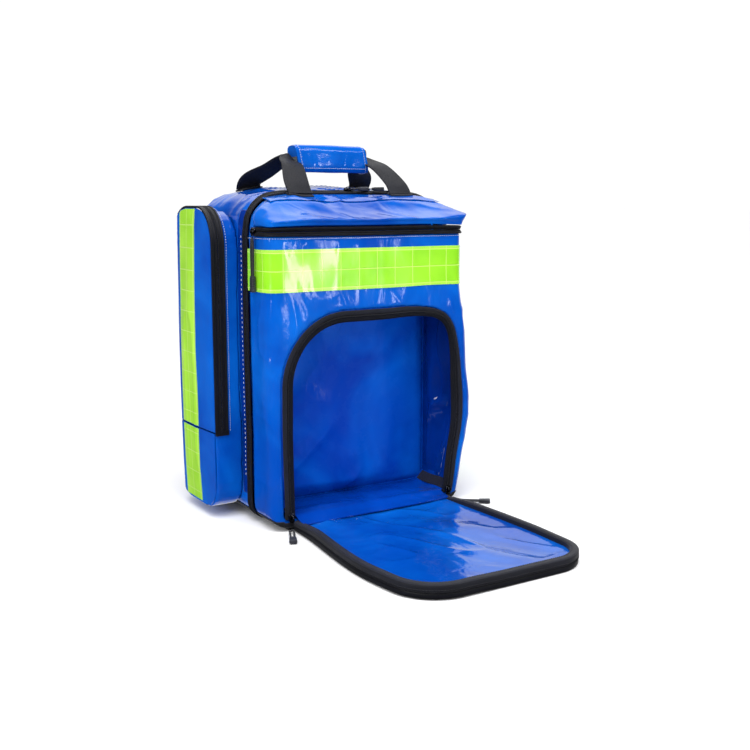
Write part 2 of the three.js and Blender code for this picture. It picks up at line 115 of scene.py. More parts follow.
# ------------------------------------------------------------------ noise
def ramp(value, low, high):
    """0 below low, 1 above high, with a smooth turn between."""
    t = np.clip((value - low) / (high - low), 0.0, 1.0)
    return t * t * (3.0 - 2.0 * t)


def bell(value, low, peak, high):
    """1 at peak, falling smoothly to 0 at low and high."""
    return ramp(value, low, peak) * (1.0 - ramp(value, peak, high))


def ramp_line(value, start, length):
    """0 before start, rising evenly to 1 over the length and on past it."""
    return np.clip((value - start) / length, 0.0, 1.2)


def lattice(ix, iy, iz, seed):
    """A repeatable random number from 0 to 1 for each whole-number point."""
    h = (
        ix.astype(np.uint32) * np.uint32(374761393)
        + iy.astype(np.uint32) * np.uint32(668265263)
        + iz.astype(np.uint32) * np.uint32(2246822519)
        + np.uint32(seed * 3266489 % 4294967295)
    )
    h = (h ^ (h >> np.uint32(13))) * np.uint32(1274126177)
    h = (h ^ (h >> np.uint32(15))) * np.uint32(2246822519)
    return ((h ^ (h >> np.uint32(16))) & np.uint32(65535)).astype(float) / 65535.0


def noise(points, size, seed=0):
    """Smooth value noise from 0 to 1. size is one length, or one for each axis."""
    q = points / np.asarray(size, float) + 1000.0
    cell = np.floor(q).astype(np.int64)
    t = q - cell
    t = t * t * t * (t * (t * 6.0 - 15.0) + 10.0)
    total = np.zeros(len(points))
    for i in (0, 1):
        wx = t[:, 0] if i else 1.0 - t[:, 0]
        for j in (0, 1):
            wy = t[:, 1] if j else 1.0 - t[:, 1]
            for k in (0, 1):
                wz = t[:, 2] if k else 1.0 - t[:, 2]
                value = lattice(cell[:, 0] + i, cell[:, 1] + j, cell[:, 2] + k, seed)
                total += wx * wy * wz * value
    return total


def ridge(points, size, seed, sharpness=3.0):
    """Long narrow creases: 1 on the crest of each, 0 away from them."""
    return (1.0 - np.abs(2.0 * noise(points, size, seed) - 1.0)) ** sharpness


# ------------------------------------------------------------------ soft shape
def away(points):
    """The way out of the bag at each point, one way on a face and turning smoothly round the corners."""
    centre = np.array([0.0, 0.5 * (FRONT_Y + REAR_Y), 0.5 * SHELL_TOP])
    half = np.array([HALF_WIDTH, 0.5 * (REAR_Y - FRONT_Y), 0.5 * SHELL_TOP])
    q = (points - centre) / half
    out = np.sign(q) * np.abs(q) ** 7 + 1e-9
    return out / np.linalg.norm(out, axis=1)[:, None]


def arch_distance(x, z):
    """How far a point of the front is from the edge of the arched opening."""
    inner_x = ARCH_HALF - ARCH_RADIUS
    inner_z = ARCH_TOP - ARCH_RADIUS
    dx = np.maximum(np.abs(x) - inner_x, 0.0)
    dz = np.maximum(z - inner_z, 0.0)
    corner = (dx > 0) & (dz > 0)
    flat = np.where(z < inner_z, np.abs(np.abs(x) - ARCH_HALF), np.abs(z - ARCH_TOP))
    return np.where(corner, np.abs(np.hypot(dx, dz) - ARCH_RADIUS), flat)


POCKET_TUCK = 0.0120


def pocket_fill(points):
    """The side pockets' tops are filled out, and their rear edges are rounded in."""
    moved = np.zeros_like(points)
    outer = ramp(np.abs(points[:, 0]), 0.1505, 0.1580)
    moved[:, 2] = 0.0055 * outer * ramp(points[:, 2], 0.330, 0.410)
    tuck = POCKET_TUCK * outer * ramp_line(points[:, 1], 0.098, 0.022).clip(0.0, 1.0)
    moved[:, 0] = -np.sign(points[:, 0]) * tuck
    return moved


def settle(points):
    """Where each point of the plain bag goes once the bag is soft: filled sides, a crowned lid and folds.

    It depends only on the place, so tapes, bands and stitches stay on the cloth they are sewn to.
    """
    p = np.asarray(points, float)
    x, y, z = p.T
    moved = p.copy()
    out = away(p)
    front = 1.0 - ramp(y, -0.060, -0.045)
    # The right wall of the open compartment leans out low down, the left one a little.
    lean = bell(z, 0.012, 0.135, 0.300) * (1.0 - ramp(y, -0.085, -0.050))
    moved[:, 0] += lean * (0.017 * ramp(x, 0.040, 0.150) - 0.002 * ramp(-x, 0.040, 0.150))
    # The opening's upper right corner is pulled out by the weight of the open door.
    tug = np.exp(-((x - 0.096) ** 2 + (z - 0.247) ** 2) / 0.040**2) * (1.0 - ramp(y, -0.085, -0.050))
    moved[:, 0] += 0.0165 * tug
    moved[:, 2] += 0.0140 * tug
    moved += pocket_fill(p)
    # Its top corners are rounder than the frame's, and the lid's front corners are pulled out to points.
    reach = 0.055
    corner = ramp_line(np.abs(x), HALF_WIDTH - reach, reach) * ramp_line(z, SHELL_TOP - reach, reach)
    moved[:, 0] -= 0.0066 * corner * np.sign(x)
    moved[:, 2] -= 0.0066 * corner
    point = ramp(x, 0.090, 0.150) * ramp(-y, 0.060, 0.108) * ramp(z, 0.395, 0.420)
    moved[:, 0] += 0.0075 * point
    moved[:, 1] -= 0.0030 * point
    moved[:, 2] += 0.0075 * point
    # The top slopes down from the main zip to the lid's front edge, and rises a little behind the zip.
    high = ramp(z, 0.392, 0.436)
    moved[:, 2] -= 0.0190 * high * ramp_line(-y, 0.036, 0.062)
    moved[:, 2] += 0.0070 * high * bell(y, -0.030, 0.045, 0.125) * (1.0 - (x / 0.158) ** 2).clip(0.0, 1.0)
    # Broad unevenness, everywhere but at the joints' lines and where the bag stands.
    calm = ramp(z, 0.002, 0.040) * (0.25 + 0.75 * ramp(np.abs(y - ZIP_Y), 0.012, 0.045))
    broad = (noise(p, (0.075, 0.090, 0.130), 3) - 0.5) + 0.4 * (noise(p, 0.040, 5) - 0.5)
    taped = bell(z, BAND_LOW - 0.035, 0.5 * (BAND_LOW + BAND_HIGH), BAND_HIGH + 0.035) ** 0.5 * front
    size = 0.0055 * calm * (1.0 - 0.5 * ramp(y, 0.09, 0.12)) * (1.0 - 0.82 * taped)
    # Narrow folds, away from the zips, the opening's edge and the seams.
    free = ramp(np.abs(z - LID_SEAM), 0.008, 0.022) + (1.0 - front)
    free = np.minimum(free, 1.0) * ramp(np.abs(y - ZIP_Y), 0.009, 0.022) * ramp(z, 0.012, 0.030)
    edge = ramp(arch_distance(x, z), 0.010, 0.026) + ramp(y, -0.100, -0.090)
    free *= np.minimum(edge, 1.0)
    free *= 1.0 - 0.92 * taped
    upright = ridge(p, (0.034, 0.050, 0.120), 11, 4.0) * 0.0016
    slanted = np.stack([x + 0.55 * z, y + 0.2 * z, z - 0.4 * x], axis=1)
    crossing = ridge(slanted, (0.045, 0.055, 0.085), 17, 5.0) * 0.0015
    top = ramp(z, 0.385, 0.425)
    shoulder = ridge(np.stack([x, y + 0.5 * x, z], axis=1), (0.060, 0.022, 0.050), 23, 3.0) * 0.0022
    folds = (upright + crossing) * (1.0 - 0.4 * top) + shoulder * top
    moved += out * (broad * size + (folds - 0.0007) * free)[:, None]
    return moved


# ------------------------------------------------------------------ materials
class Material:
    """A node material: helpers that add a node and join it up in one call."""

    def __init__(self, name, **shader):
        self.material = bpy.data.materials.new(name)
        self.material.use_nodes = True
        self.tree = self.material.node_tree
        self.shader = self.tree.nodes["Principled BSDF"]
        for socket, value in shader.items():
            self.put(self.shader.inputs[socket.replace("_", " ")], value)

    def put(self, socket, value):
        if isinstance(value, bpy.types.NodeSocket):
            self.tree.links.new(value, socket)
        else:
            socket.default_value = value

    def node(self, kind, inputs=(), **settings):
        made = self.tree.nodes.new("ShaderNode" + kind)
        for key, value in settings.items():
            setattr(made, key, value)
        for key, value in dict(inputs).items():
            self.put(made.inputs[key], value)
        return made

    def math(self, operation, a, b=0.0):
        return self.node("Math", {0: a, 1: b}, operation=operation).outputs[0]

    def place(self, scale=(1.0, 1.0, 1.0), sewn=False):
        """Coordinates in metres times scale: along and across a strap if sewn, else in the object."""
        source = self.node("TexCoord").outputs["UV" if sewn else "Object"]
        return self.node("Mapping", {"Vector": source, "Scale": scale}).outputs["Vector"]

    def noise(self, scale, detail=2.0, roughness=0.5, at=None, distortion=0.0):
        inputs = {
            "Vector": at or self.place(),
            "Scale": scale,
            "Detail": detail,
            "Roughness": roughness,
            "Distortion": distortion,
        }
        return self.node("TexNoise", inputs).outputs["Fac"]

    def spread(self, value, low, high, to_low=0.0, to_high=1.0):
        inputs = {0: value, 1: low, 2: high, 3: to_low, 4: to_high}
        return self.node("MapRange", inputs, interpolation_type="SMOOTHSTEP").outputs[0]

    def mix(self, factor, a, b):
        made = self.node("Mix", {0: factor}, data_type="RGBA")
        self.put(made.inputs[6], a)
        self.put(made.inputs[7], b)
        return made.outputs[2]

    def wave(self, coordinate, pitch, phase=0.0):
        """A cosine of the coordinate, from 0 to 1, one turn in each pitch."""
        angle = self.math("MULTIPLY_ADD", coordinate, 2.0 * math.pi / pitch)
        angle.node.inputs[2].default_value = phase
        return self.math("MULTIPLY_ADD", self.math("COSINE", angle), 0.5, ).node.outputs[0]

    def colour(self, value):
        self.put(self.shader.inputs["Base Color"], value)

    def bump(self, height, distance, strength=1.0):
        below = self.shader.inputs["Normal"]
        made = self.node("Bump", {"Height": height, "Distance": distance, "Strength": strength})
        if below.is_linked:
            self.put(made.inputs["Normal"], below.links[0].from_socket)
        self.put(below, made.outputs["Normal"])


def rgb(red, green, blue):
    """A colour from its 0 to 255 screen values."""
    shares = [v / 255.0 for v in (red, green, blue)]
    linear = [v / 12.92 if v <= 10 / 255.0 else ((v + 0.055) / 1.055) ** 2.4 for v in shares]
    return (*linear, 1.0)


def woven(name, dark, light, pitch, sheen=0.25, roughness=0.62):
    """A strap or tape: two sets of crossing yarns, worn a little paler in places."""
    m = Material(name, Roughness=roughness, Sheen_Weight=sheen, Sheen_Roughness=0.45, Specular_IOR_Level=0.35)
    place = m.place(sewn=True)
    split = m.node("SeparateXYZ", {0: place})
    along, across = split.outputs[0], split.outputs[1]
    warp = m.wave(across, pitch)
    half = m.math("FLOOR", m.math("DIVIDE", across, pitch))
    shift = m.math("MULTIPLY", half, 0.5 * pitch * 1.25)
    weft = m.wave(m.math("ADD", along, shift), pitch * 1.25)
    yarn = m.math("MULTIPLY", m.math("ADD", warp, 0.35), m.math("ADD", weft, 0.45))
    wear = m.noise(22.0, 4.0, 0.6)
    fuzz = m.noise(900.0, 2.0)
    tone = m.math("MULTIPLY", m.spread(yarn, 0.1, 1.4, 0.15, 0.85), m.spread(wear, 0.3, 0.75, 0.6, 1.15))
    m.colour(m.mix(tone, dark, light))
    m.bump(yarn, 0.00022, 0.75)
    m.bump(fuzz, 0.0001, 0.3)
    return m.material


def tarpaulin(name, deep, bright, gloss=0.10, scrim=0.10, specular=0.30, coat=0.35):
    """Coated cloth: wet-looking, with a faint scrim, dents and a slightly uneven dye."""
    m = Material(
        name,
        Specular_IOR_Level=specular,
        Coat_Weight=coat,
        Coat_Roughness=0.03,
        Coat_IOR=1.33,
    )
    cloud = m.noise(7.0, 3.0, 0.55, distortion=0.6)
    m.colour(m.mix(m.spread(cloud, 0.32, 0.72), deep, bright))
    smear = m.noise(28.0, 3.0, 0.6)
    m.put(m.shader.inputs["Roughness"], m.spread(smear, 0.25, 0.8, gloss * 0.6, gloss * 1.9))
    dent = m.noise(24.0, 2.0, 0.5, at=m.place((1.0, 1.0, 0.55)), distortion=0.9)
    ripple = m.noise(75.0, 2.0, 0.5, distortion=0.4)
    peel = m.noise(420.0, 1.0)
    m.bump(dent, 0.0035, 0.55)
    m.bump(ripple, 0.0006, 0.5)
    m.bump(peel, 0.00006, 0.5)
    # The scrim shows as a very fine square grid under the coat.
    split = m.node("SeparateXYZ", {0: m.place()})
    grid = m.wave(split.outputs[2], 0.0011)
    for axis in (0, 1):
        grid = m.math("MULTIPLY", grid, m.math("ADD", m.wave(split.outputs[axis], 0.0011), 0.4))
    m.bump(grid, 0.00008, scrim)
    return m.material


def reflective(name, base, cell, pale, columns, rows):
    """Prismatic tape: welded cells with pale lines between them. columns and rows are a cell's sides."""
    m = Material(
        name,
        Roughness=0.22,
        Specular_IOR_Level=0.6,
        Coat_Weight=0.7,
        Coat_Roughness=0.06,
        # A faint glow in the tape's own colour: painted light, standing in for its fluorescent brightness.
        Emission_Strength=0.03,
        Emission_Color=base,
    )
    split = m.node("SeparateXYZ", {0: m.place(sewn=True)})
    along, across = split.outputs[0], split.outputs[1]
    lines = None
    for coordinate, pitch in ((along, columns), (across, rows)):
        share = m.math("FRACT", m.math("DIVIDE", coordinate, pitch))
        to_line = m.math("ABSOLUTE", m.math("SUBTRACT", share, 0.5))
        distance = m.math("MULTIPLY", m.math("SUBTRACT", 0.5, to_line), pitch)
        near = m.spread(distance, 0.00035, 0.00085, 1.0, 0.0)
        lines = near if lines is None else m.math("MAXIMUM", lines, near)
    # Past the cells, the tape has a plain welded border.
    middle = m.math("ABSOLUTE", m.math("SUBTRACT", across, rows))
    border = m.spread(middle, rows - 0.0002, rows + 0.0004)
    diagonals = [m.wave(m.math(kind, along, across), 0.0016) for kind in ("ADD", "SUBTRACT")]
    prism = m.math("MULTIPLY", *diagonals)
    cloud = m.noise(16.0, 2.0)
    body = m.mix(m.spread(cloud, 0.3, 0.7), base, cell)
    body = m.mix(m.math("MULTIPLY", prism, 0.10), body, pale)
    marks = m.math("MAXIMUM", lines, m.math("MULTIPLY", border, 0.35))
    body = m.mix(m.math("MULTIPLY", marks, 0.85), body, pale)
    m.colour(body)
    m.bump(m.math("SUBTRACT", 1.0, m.math("MAXIMUM", lines, border)), 0.0005, 0.8)
    m.bump(m.noise(30.0, 2.0, distortion=0.5), 0.0010, 0.4)
    return m.material


def solid(name, base, other, roughness, metal=0.0, grain=300.0, depth=0.00008, coat=0.0):
    """Moulded plastic, rubber, cord or metal, with grain and patches of another tone."""
    m = Material(name, Metallic=metal, Coat_Weight=coat, Coat_Roughness=0.1, Specular_IOR_Level=0.5)
    m.colour(m.mix(m.spread(m.noise(45.0, 3.0, 0.6), 0.3, 0.75), base, other))
    uneven = m.spread(m.noise(120.0, 3.0), 0.3, 0.7, roughness * 0.8, roughness * 1.25)
    m.put(m.shader.inputs["Roughness"], uneven)
    m.bump(m.noise(grain, 2.0), depth, 0.6)
    return m.material


def braided(name, dark, light):
    """Thin cord: strands crossing at a slant."""
    m = Material(name, Roughness=0.6, Sheen_Weight=0.2, Sheen_Roughness=0.4)
    split = m.node("SeparateXYZ", {0: m.place(sewn=True)})
    left = m.wave(m.math("ADD", split.outputs[0], split.outputs[1]), 0.0013)
    right = m.wave(m.math("SUBTRACT", split.outputs[0], split.outputs[1]), 0.0013)
    plait = m.math("MAXIMUM", left, right)
    m.colour(m.mix(plait, dark, light))
    m.bump(plait, 0.0002, 0.8)
    return m.material


def air_mesh(name, dark, light):
    """Spacer mesh: rows of small holes in a knitted face."""
    m = Material(name, Roughness=0.8, Sheen_Weight=0.3, Sheen_Roughness=0.5, Specular_IOR_Level=0.3)
    cells = m.node("TexVoronoi", {"Vector": m.place(), "Scale": 330.0, "Randomness": 0.15})
    hole = m.spread(cells.outputs["Distance"], 0.18, 0.42)
    m.colour(m.mix(hole, dark, light))
    m.bump(hole, 0.0007, 0.9)
    m.bump(m.noise(40.0, 3.0), 0.0012, 0.4)
    return m.material


BLUE_DEEP = rgb(2, 68, 168)
BLUE_BRIGHT = rgb(6, 98, 200)
cloth_blue = tarpaulin("tarpaulin_blue", BLUE_DEEP, BLUE_BRIGHT)
# The compartment's floor and the door's hinge strip: the same cloth made darker, painted shade where the top
# light falls on them.
shaded_floor_blue = tarpaulin("tarpaulin_floor_painted_shade", rgb(1, 46, 140), rgb(3, 68, 176), gloss=0.10, coat=0.25)
# The compartment's side walls: the same cloth made darker, painted shade for the little light that reaches
# inside.
shaded_wall_blue = tarpaulin("tarpaulin_wall_painted_shade", rgb(1, 34, 112), rgb(2, 50, 142), gloss=0.08, coat=0.8)
# The compartment's rear wall and the divider: the same cloth made lighter, painted light in place of light
# reaching into the compartment.
lit_backing_blue = tarpaulin(
    "tarpaulin_backing_painted_light", rgb(2, 62, 178), rgb(5, 100, 216), gloss=0.22, specular=0.06, coat=0.03
)
# The strip between the main zip and the left pocket: the same cloth made darker, painted shade for the recess
# in the pocket's shadow.
painted_shade_blue = tarpaulin(
    "tarpaulin_painted_shade", rgb(2, 34, 112), rgb(3, 46, 136), gloss=0.16, specular=0.15, coat=0.1
)
lining_navy = tarpaulin("lining_blue", rgb(2, 40, 130), rgb(5, 60, 165), gloss=0.30, scrim=0.4)
tape_black = woven("tape_black", rgb(3, 4, 9), rgb(16, 19, 34), 0.0011, sheen=0.04, roughness=0.5)
binding_grey = woven("binding_grey", rgb(8, 9, 17), rgb(29, 32, 50), 0.0012, sheen=0.09)
webbing_black = woven("webbing_black", rgb(5, 6, 12), rgb(22, 24, 38), 0.0021, sheen=0.06)
base_black = woven("base_fabric", rgb(6, 7, 10), rgb(28, 29, 38), 0.0017, sheen=0.05)
elastic_black = woven("elastic_black", rgb(7, 8, 12), rgb(30, 31, 40), 0.0030, sheen=0.08)
metal_dark = solid(
    "slider_metal", rgb(48, 49, 55), rgb(84, 86, 92), 0.24, metal=1.0, grain=700.0, depth=0.00003
)
rubber_grey = solid("pull_rubber", rgb(36, 38, 46), rgb(58, 60, 70), 0.48, grain=900.0)
cord_black = braided("cord_black", rgb(10, 11, 17), rgb(36, 38, 48))
plastic_black = solid("plastic_black", rgb(12, 12, 15), rgb(24, 25, 30), 0.42, grain=1100.0)
foam_mesh = air_mesh("mesh_black", rgb(9, 10, 14), rgb(50, 52, 62))
thread_white = solid("thread_pale", rgb(196, 206, 236), rgb(226, 232, 248), 0.5, grain=1500.0)
thread_black = solid("thread_black", rgb(26, 27, 33), rgb(52, 54, 62), 0.6, grain=1500.0)
hi_vis = reflective(
    "reflective_tape", rgb(132, 210, 20), rgb(150, 224, 34), rgb(206, 244, 110), 0.0278, 0.0228
)
hi_vis_soft = reflective(
    "reflective_stripe", rgb(150, 212, 44), rgb(168, 226, 66), rgb(198, 238, 112), 0.0278, 0.0228
)


# ------------------------------------------------------------------ mesh helpers
def outline(corners, radii, step, closed=False):
    """A flat path along straight runs and round corners: its points, and the normals on its right."""
    corners = [np.array(c, float) for c in corners]
    radii = radii if isinstance(radii, (list, tuple)) else [radii] * len(corners)
    points = []
    for i, corner in enumerate(corners):
        if not closed and i in (0, len(corners) - 1):
            points.append(corner)
            continue
        to_last = corners[i - 1] - corner
        to_next = corners[(i + 1) % len(corners)] - corner
        a = to_last / np.linalg.norm(to_last)
        b = to_next / np.linalg.norm(to_next)
        inside = math.acos(np.clip(a @ b, -1.0, 1.0))
        centre = corner + (a + b) / np.linalg.norm(a + b) * radii[i] / math.sin(inside / 2.0)
        start = corner + a * radii[i] / math.tan(inside / 2.0) - centre
        end = corner + b * radii[i] / math.tan(inside / 2.0) - centre
        angle = math.pi - inside
        steps = max(3, math.ceil(angle * radii[i] / step))
        for k in range(steps + 1):
            t = k / steps
            arm = (start * math.sin((1 - t) * angle) + end * math.sin(t * angle)) / math.sin(angle)
            points.append(centre + arm)
    points = np.array(points + ([points[0]] if closed else []))
    length = np.concatenate([[0.0], np.cumsum(np.linalg.norm(np.diff(points, axis=0), axis=1))])
    count = max(4, round(length[-1] / step))
    at = np.linspace(0.0, length[-1], count + 1)[: count if closed else None]
    points = np.stack([np.interp(at, length, points[:, k]) for k in (0, 1)], axis=1)
    along = directions(points, closed)
    return points, np.stack([along[:, 1], -along[:, 0]], axis=1)


def directions(points, closed=False):
    """The unit direction of travel at each point of a path."""
    if closed:
        along = np.roll(points, -1, axis=0) - np.roll(points, 1, axis=0)
    else:
        along = np.gradient(points, axis=0)
    return along / np.maximum(np.linalg.norm(along, axis=1), 1e-12)[:, None]


def on_plane(flat, plane, level=0.0):
    """Flat points or normals in space. plane is xy, xz or yz; level is the third coordinate."""
    full = np.full((len(flat), 3), float(level))
    for k, name in enumerate(plane):
        full[:, "xyz".index(name)] = flat[:, k]
    return full


def curve(points, step):
    """A smooth path through a few points in space, sampled every step."""
    p = np.array(points, float)
    p = np.concatenate([[2 * p[0] - p[1]], p, [2 * p[-1] - p[-2]]])
    fine = []
    for i in range(1, len(p) - 2):
        t = np.linspace(0.0, 1.0, 24, endpoint=False)[:, None]
        a, b, c, d = p[i - 1 : i + 3]
        cubic = (2 * a - 5 * b + 4 * c - d) * t**2 + (3 * b - a - 3 * c + d) * t**3
        fine.append(0.5 * (2 * b + (c - a) * t + cubic))
    fine = np.concatenate(fine + [p[-2][None]])
    length = np.concatenate([[0.0], np.cumsum(np.linalg.norm(np.diff(fine, axis=0), axis=1))])
    at = np.linspace(0.0, length[-1], max(3, round(length[-1] / step)) + 1)
    return np.stack([np.interp(at, length, fine[:, k]) for k in range(3)], axis=1)


def rounded_section(width, height, radius, steps=3, low=0.0):
    """The section of a strap: width across, from low to low + height away from the surface."""
    radius = min(radius, width * 0.499, height * 0.499)
    points = []
    for cx, cy, start in (
        (width / 2 - radius, low + height - radius, 0),
        (-width / 2 + radius, low + height - radius, 90),
        (-width / 2 + radius, low + radius, 180),
        (width / 2 - radius, low + radius, 270),
    ):
        for k in range(steps + 1):
            a = math.radians(start + 90.0 * k / steps)
            points.append((cx + radius * math.cos(a), cy + radius * math.sin(a)))
    return np.array(points)


def ring_section(radius, sides=10):
    return rounded_section(2 * radius, 2 * radius, radius, max(1, sides // 4), -radius)


def sweep(points, across, out, section, closed=False):
    """A closed tube of the section along the path. The section is one for all points, or one for each."""
    count = len(points)
    across = np.broadcast_to(across, (count, 3))
    out = np.broadcast_to(out, (count, 3))
    section = np.asarray(section, float)
    if section.ndim == 2:
        section = np.broadcast_to(section, (count, *section.shape))
    sides = section.shape[1]
    verts = points[:, None] + across[:, None] * section[:, :, :1] + out[:, None] * section[:, :, 1:]
    steps = np.linalg.norm(np.diff(points, axis=0), axis=1)
    along = np.concatenate([[0.0], np.cumsum(steps)])
    uv = np.empty((count, sides, 2))
    uv[:, :, 0] = along[:, None]
    uv[:, :, 1] = section[:, :, 0]
    faces = []
    for i in range(count if closed else count - 1):
        a, b = i * sides, (i + 1) % count * sides
        for k in range(sides):
            n = (k + 1) % sides
            faces.append((a + k, a + n, b + n, b + k))
    if not closed:
        faces.append(tuple(range(sides)))
        faces.append(tuple(range((count - 1) * sides, count * sides)))
    return verts.reshape(-1, 3), faces, uv.reshape(-1, 2)


def tube(points, radius, closed=False, sides=10):
    """A round cord along the path, without twist."""
    points = np.asarray(points, float)
    along = directions(points, closed)
    out = np.empty_like(points)
    last = np.cross(along[0], Z_AXIS if abs(along[0][2]) < 0.9 else X_AXIS)
    for i, direction in enumerate(along):
        last = last - direction * (last @ direction)
        last = last / np.linalg.norm(last)
        out[i] = last
    return sweep(points, np.cross(along, out), out, ring_section(radius, sides), closed)


def coil(points, across, out, width, height, pitch, closed=False, shift=0.0):
    """One side of a coil zip: a bead with a rib at each pitch."""
    length = np.linalg.norm(np.diff(points, axis=0), axis=1).sum()
    count = 4 * round(length / pitch)
    source = np.linspace(0.0, 1.0, len(points) + (1 if closed else 0))
    fine = np.linspace(0.0, 1.0, count + 1)[: count if closed else None]

    def resampled(values):
        values = np.broadcast_to(values, (len(points), 3))
        values = np.concatenate([values, values[:1]]) if closed else values
        return np.stack([np.interp(fine, source, values[:, k]) for k in range(3)], axis=1)

    scale = np.where(np.arange(len(fine)) % 4 < 2, 1.0, 0.62)
    base = rounded_section(width, height, height * 0.5, 2)
    sections = np.broadcast_to(base, (len(fine), *base.shape)).copy()
    sections[:, :, 1] *= scale[:, None]
    sections[:, :, 0] += shift
    return sweep(resampled(points), resampled(across), resampled(out), sections, closed)


def stitches(points, across, out, pitch=0.0032, length=0.0021, thick=0.00045, lift=0.0):
    """A row of sewn stitches along the path."""
    points = np.asarray(points, float)
    run = np.concatenate([[0.0], np.cumsum(np.linalg.norm(np.diff(points, axis=0), axis=1))])
    at = np.arange(pitch * 0.5, run[-1], pitch)
    across = np.broadcast_to(across, (len(points), 3))
    out = np.broadcast_to(out, (len(points), 3))

    def sampled(values):
        return np.stack([np.interp(at, run, values[:, k]) for k in range(3)], axis=1)

    centre, side, up = sampled(points), sampled(across), sampled(out)
    along = sampled(directions(points))
    shape = [(-0.5, 0.0, 0.15)]
    for t in (-0.3, 0.3):
        shape += [(t, 0.5, 0.0), (t, 0.0, 0.62), (t, -0.5, 0.0), (t, 0.0, -0.45)]
    shape.append((0.5, 0.0, 0.15))
    shape = np.array(shape) * (length, thick * 1.5, thick * 1.5)
    verts = (
        centre[:, None]
        + along[:, None] * shape[None, :, :1]
        + side[:, None] * shape[None, :, 1:2]
        + up[:, None] * (shape[None, :, 2:] + lift)
    )
    cap = [(0, 1 + k, 1 + (k + 1) % 4) for k in range(4)] + [(9, 5 + (k + 1) % 4, 5 + k) for k in range(4)]
    wall = [(1 + k, 5 + k, 5 + (k + 1) % 4, 1 + (k + 1) % 4) for k in range(4)]
    faces = [tuple(v + 10 * i for v in f) for i in range(len(at)) for f in cap + wall]
    return verts.reshape(-1, 3), faces, np.zeros((len(at) * 10, 2))


def sheet_part(top, shift, lines, columns, uv):
    """A thin closed sheet from a grid of points and the same grid moved by its thickness."""
    faces = []
    for j in range(lines - 1):
        for i in range(columns - 1):
            a = j * columns + i
            faces.append((a, a + 1, a + columns + 1, a + columns))
    total = len(top)
    faces += [tuple(v + total for v in reversed(f)) for f in faces]
    border = list(range(columns)) + [j * columns + columns - 1 for j in range(1, lines)]
    border += [(lines - 1) * columns + i for i in range(columns - 2, -1, -1)]
    border += [j * columns for j in range(lines - 2, 0, -1)]
    for a, b in zip(border, border[1:] + border[:1]):
        faces.append((a, a + total, b + total, b))
    return np.concatenate([top, top + shift]), faces, np.tile(uv, (2, 1))


def pieces_joined(parts):
    """Several meshes as one."""
    verts, faces, uvs, start = [], [], [], 0
    for v, f, uv in parts:
        verts.append(v)
        uvs.append(uv)
        faces += [tuple(i + start for i in face) for face in f]
        start += len(v)
    return np.concatenate(verts), faces, np.concatenate(uvs)


def make(name, parts, body, material, replaces=(), soft=True, flat=False):
    """One piece of the model from its parts. A soft piece takes the soft bag's shape."""
    verts, faces, uvs = pieces_joined(parts)
    if soft:
        verts = settle(verts)
    mesh = bpy.data.meshes.new(name)
    mesh.from_pydata(verts.tolist(), [], faces)
    layer = mesh.uv_layers.new(name="sewn")
    corners = np.empty(len(mesh.loops), np.int32)
    mesh.loops.foreach_get("vertex_index", corners)
    layer.data.foreach_set("uv", uvs[corners].astype(np.float32).ravel())
    work = bmesh.new()
    work.from_mesh(mesh)
    bmesh.ops.recalc_face_normals(work, faces=work.faces)
    work.to_mesh(mesh)
    work.free()
    if not flat:
        mesh.shade_smooth()
        mesh.set_sharp_from_angle(angle=math.radians(50.0))
    return own(bpy.data.objects.new(name, mesh), body, material, replaces)


def own(obj, body, material, replaces=()):
    """Puts a new object in the scene, on its body and with its material. Given two bodies and points, it is
    put on neither body.
    """
    if obj.name not in bpy.context.scene.collection.objects:
        bpy.context.scene.collection.objects.link(obj)
    obj.data.materials.clear()
    obj.data.materials.append(material)
    if isinstance(body, str):
        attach(obj, body)
    else:
        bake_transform(obj)
    if replaces:
        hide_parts(*replaces)
    return obj


def remeshed(node, voxel, smoothing=4):
    """A fine even mesh of a CAD node: its points and faces."""
    copy = frame["nodes"][node].copy()
    copy.data = copy.data.copy()
    copy.name = "work_copy"
    bpy.context.scene.collection.objects.link(copy)
    copy.hide_viewport = False
    even = copy.modifiers.new("even", "REMESH")
    even.mode = "VOXEL"
    even.voxel_size = voxel
    soften = copy.modifiers.new("soften", "SMOOTH")
    soften.factor = 0.5
    soften.iterations = smoothing
    graph = bpy.context.evaluated_depsgraph_get()
    graph.update()
    result = bpy.data.meshes.new_from_object(copy.evaluated_get(graph))
    bpy.data.objects.remove(copy)
    return result


def points_of(mesh):
    flat = np.empty(len(mesh.vertices) * 3)
    mesh.vertices.foreach_get("co", flat)
    return flat.reshape(-1, 3)


def soft_shell(name, node, body, material, voxel=0.0028, shape=None, smoothing=4):
    """A CAD shell as cloth: even mesh, then the soft bag's shape and any shape of its own."""
    mesh = remeshed(node, voxel, smoothing)
    points = points_of(mesh)
    if shape is not None:
        points = shape(points)
    mesh.vertices.foreach_set("co", settle(points).ravel())
    mesh.update()
    mesh.shade_smooth()
    return own(bpy.data.objects.new(name, mesh), body, material, (node,))


# ------------------------------------------------------------------ cloth body
soft_shell("rear_skin", "rear_shell", "rear_half", cloth_blue)
soft_shell("front_skin", "front_shell", "front_half", cloth_blue)
soft_shell("lid_skin", "lid", "lid", cloth_blue)
# The divider takes the lighter copy of the cloth: painted light.
soft_shell("divider_skin", "front_divider", "front_half", lit_backing_blue)
for side in ("left", "right"):
    soft_shell(f"{side}_pocket_skin", f"{side}_pocket_shell", "rear_half", cloth_blue)


# ------------------------------------------------------------------ main zip
LOOP_CORNERS = (
    (-HALF_WIDTH, SHELL_LOW),
    (HALF_WIDTH, SHELL_LOW),
    (HALF_WIDTH, SHELL_TOP),
    (-HALF_WIDTH, SHELL_TOP),
)
LOOP_RADII = [BOTTOM_RADIUS, BOTTOM_RADIUS, TOP_RADIUS, TOP_RADIUS]
loop_flat, loop_normals = outline(LOOP_CORNERS, LOOP_RADII, 0.004, closed=True)
loop = on_plane(loop_flat, "xz")
loop_out = on_plane(loop_normals, "xz")


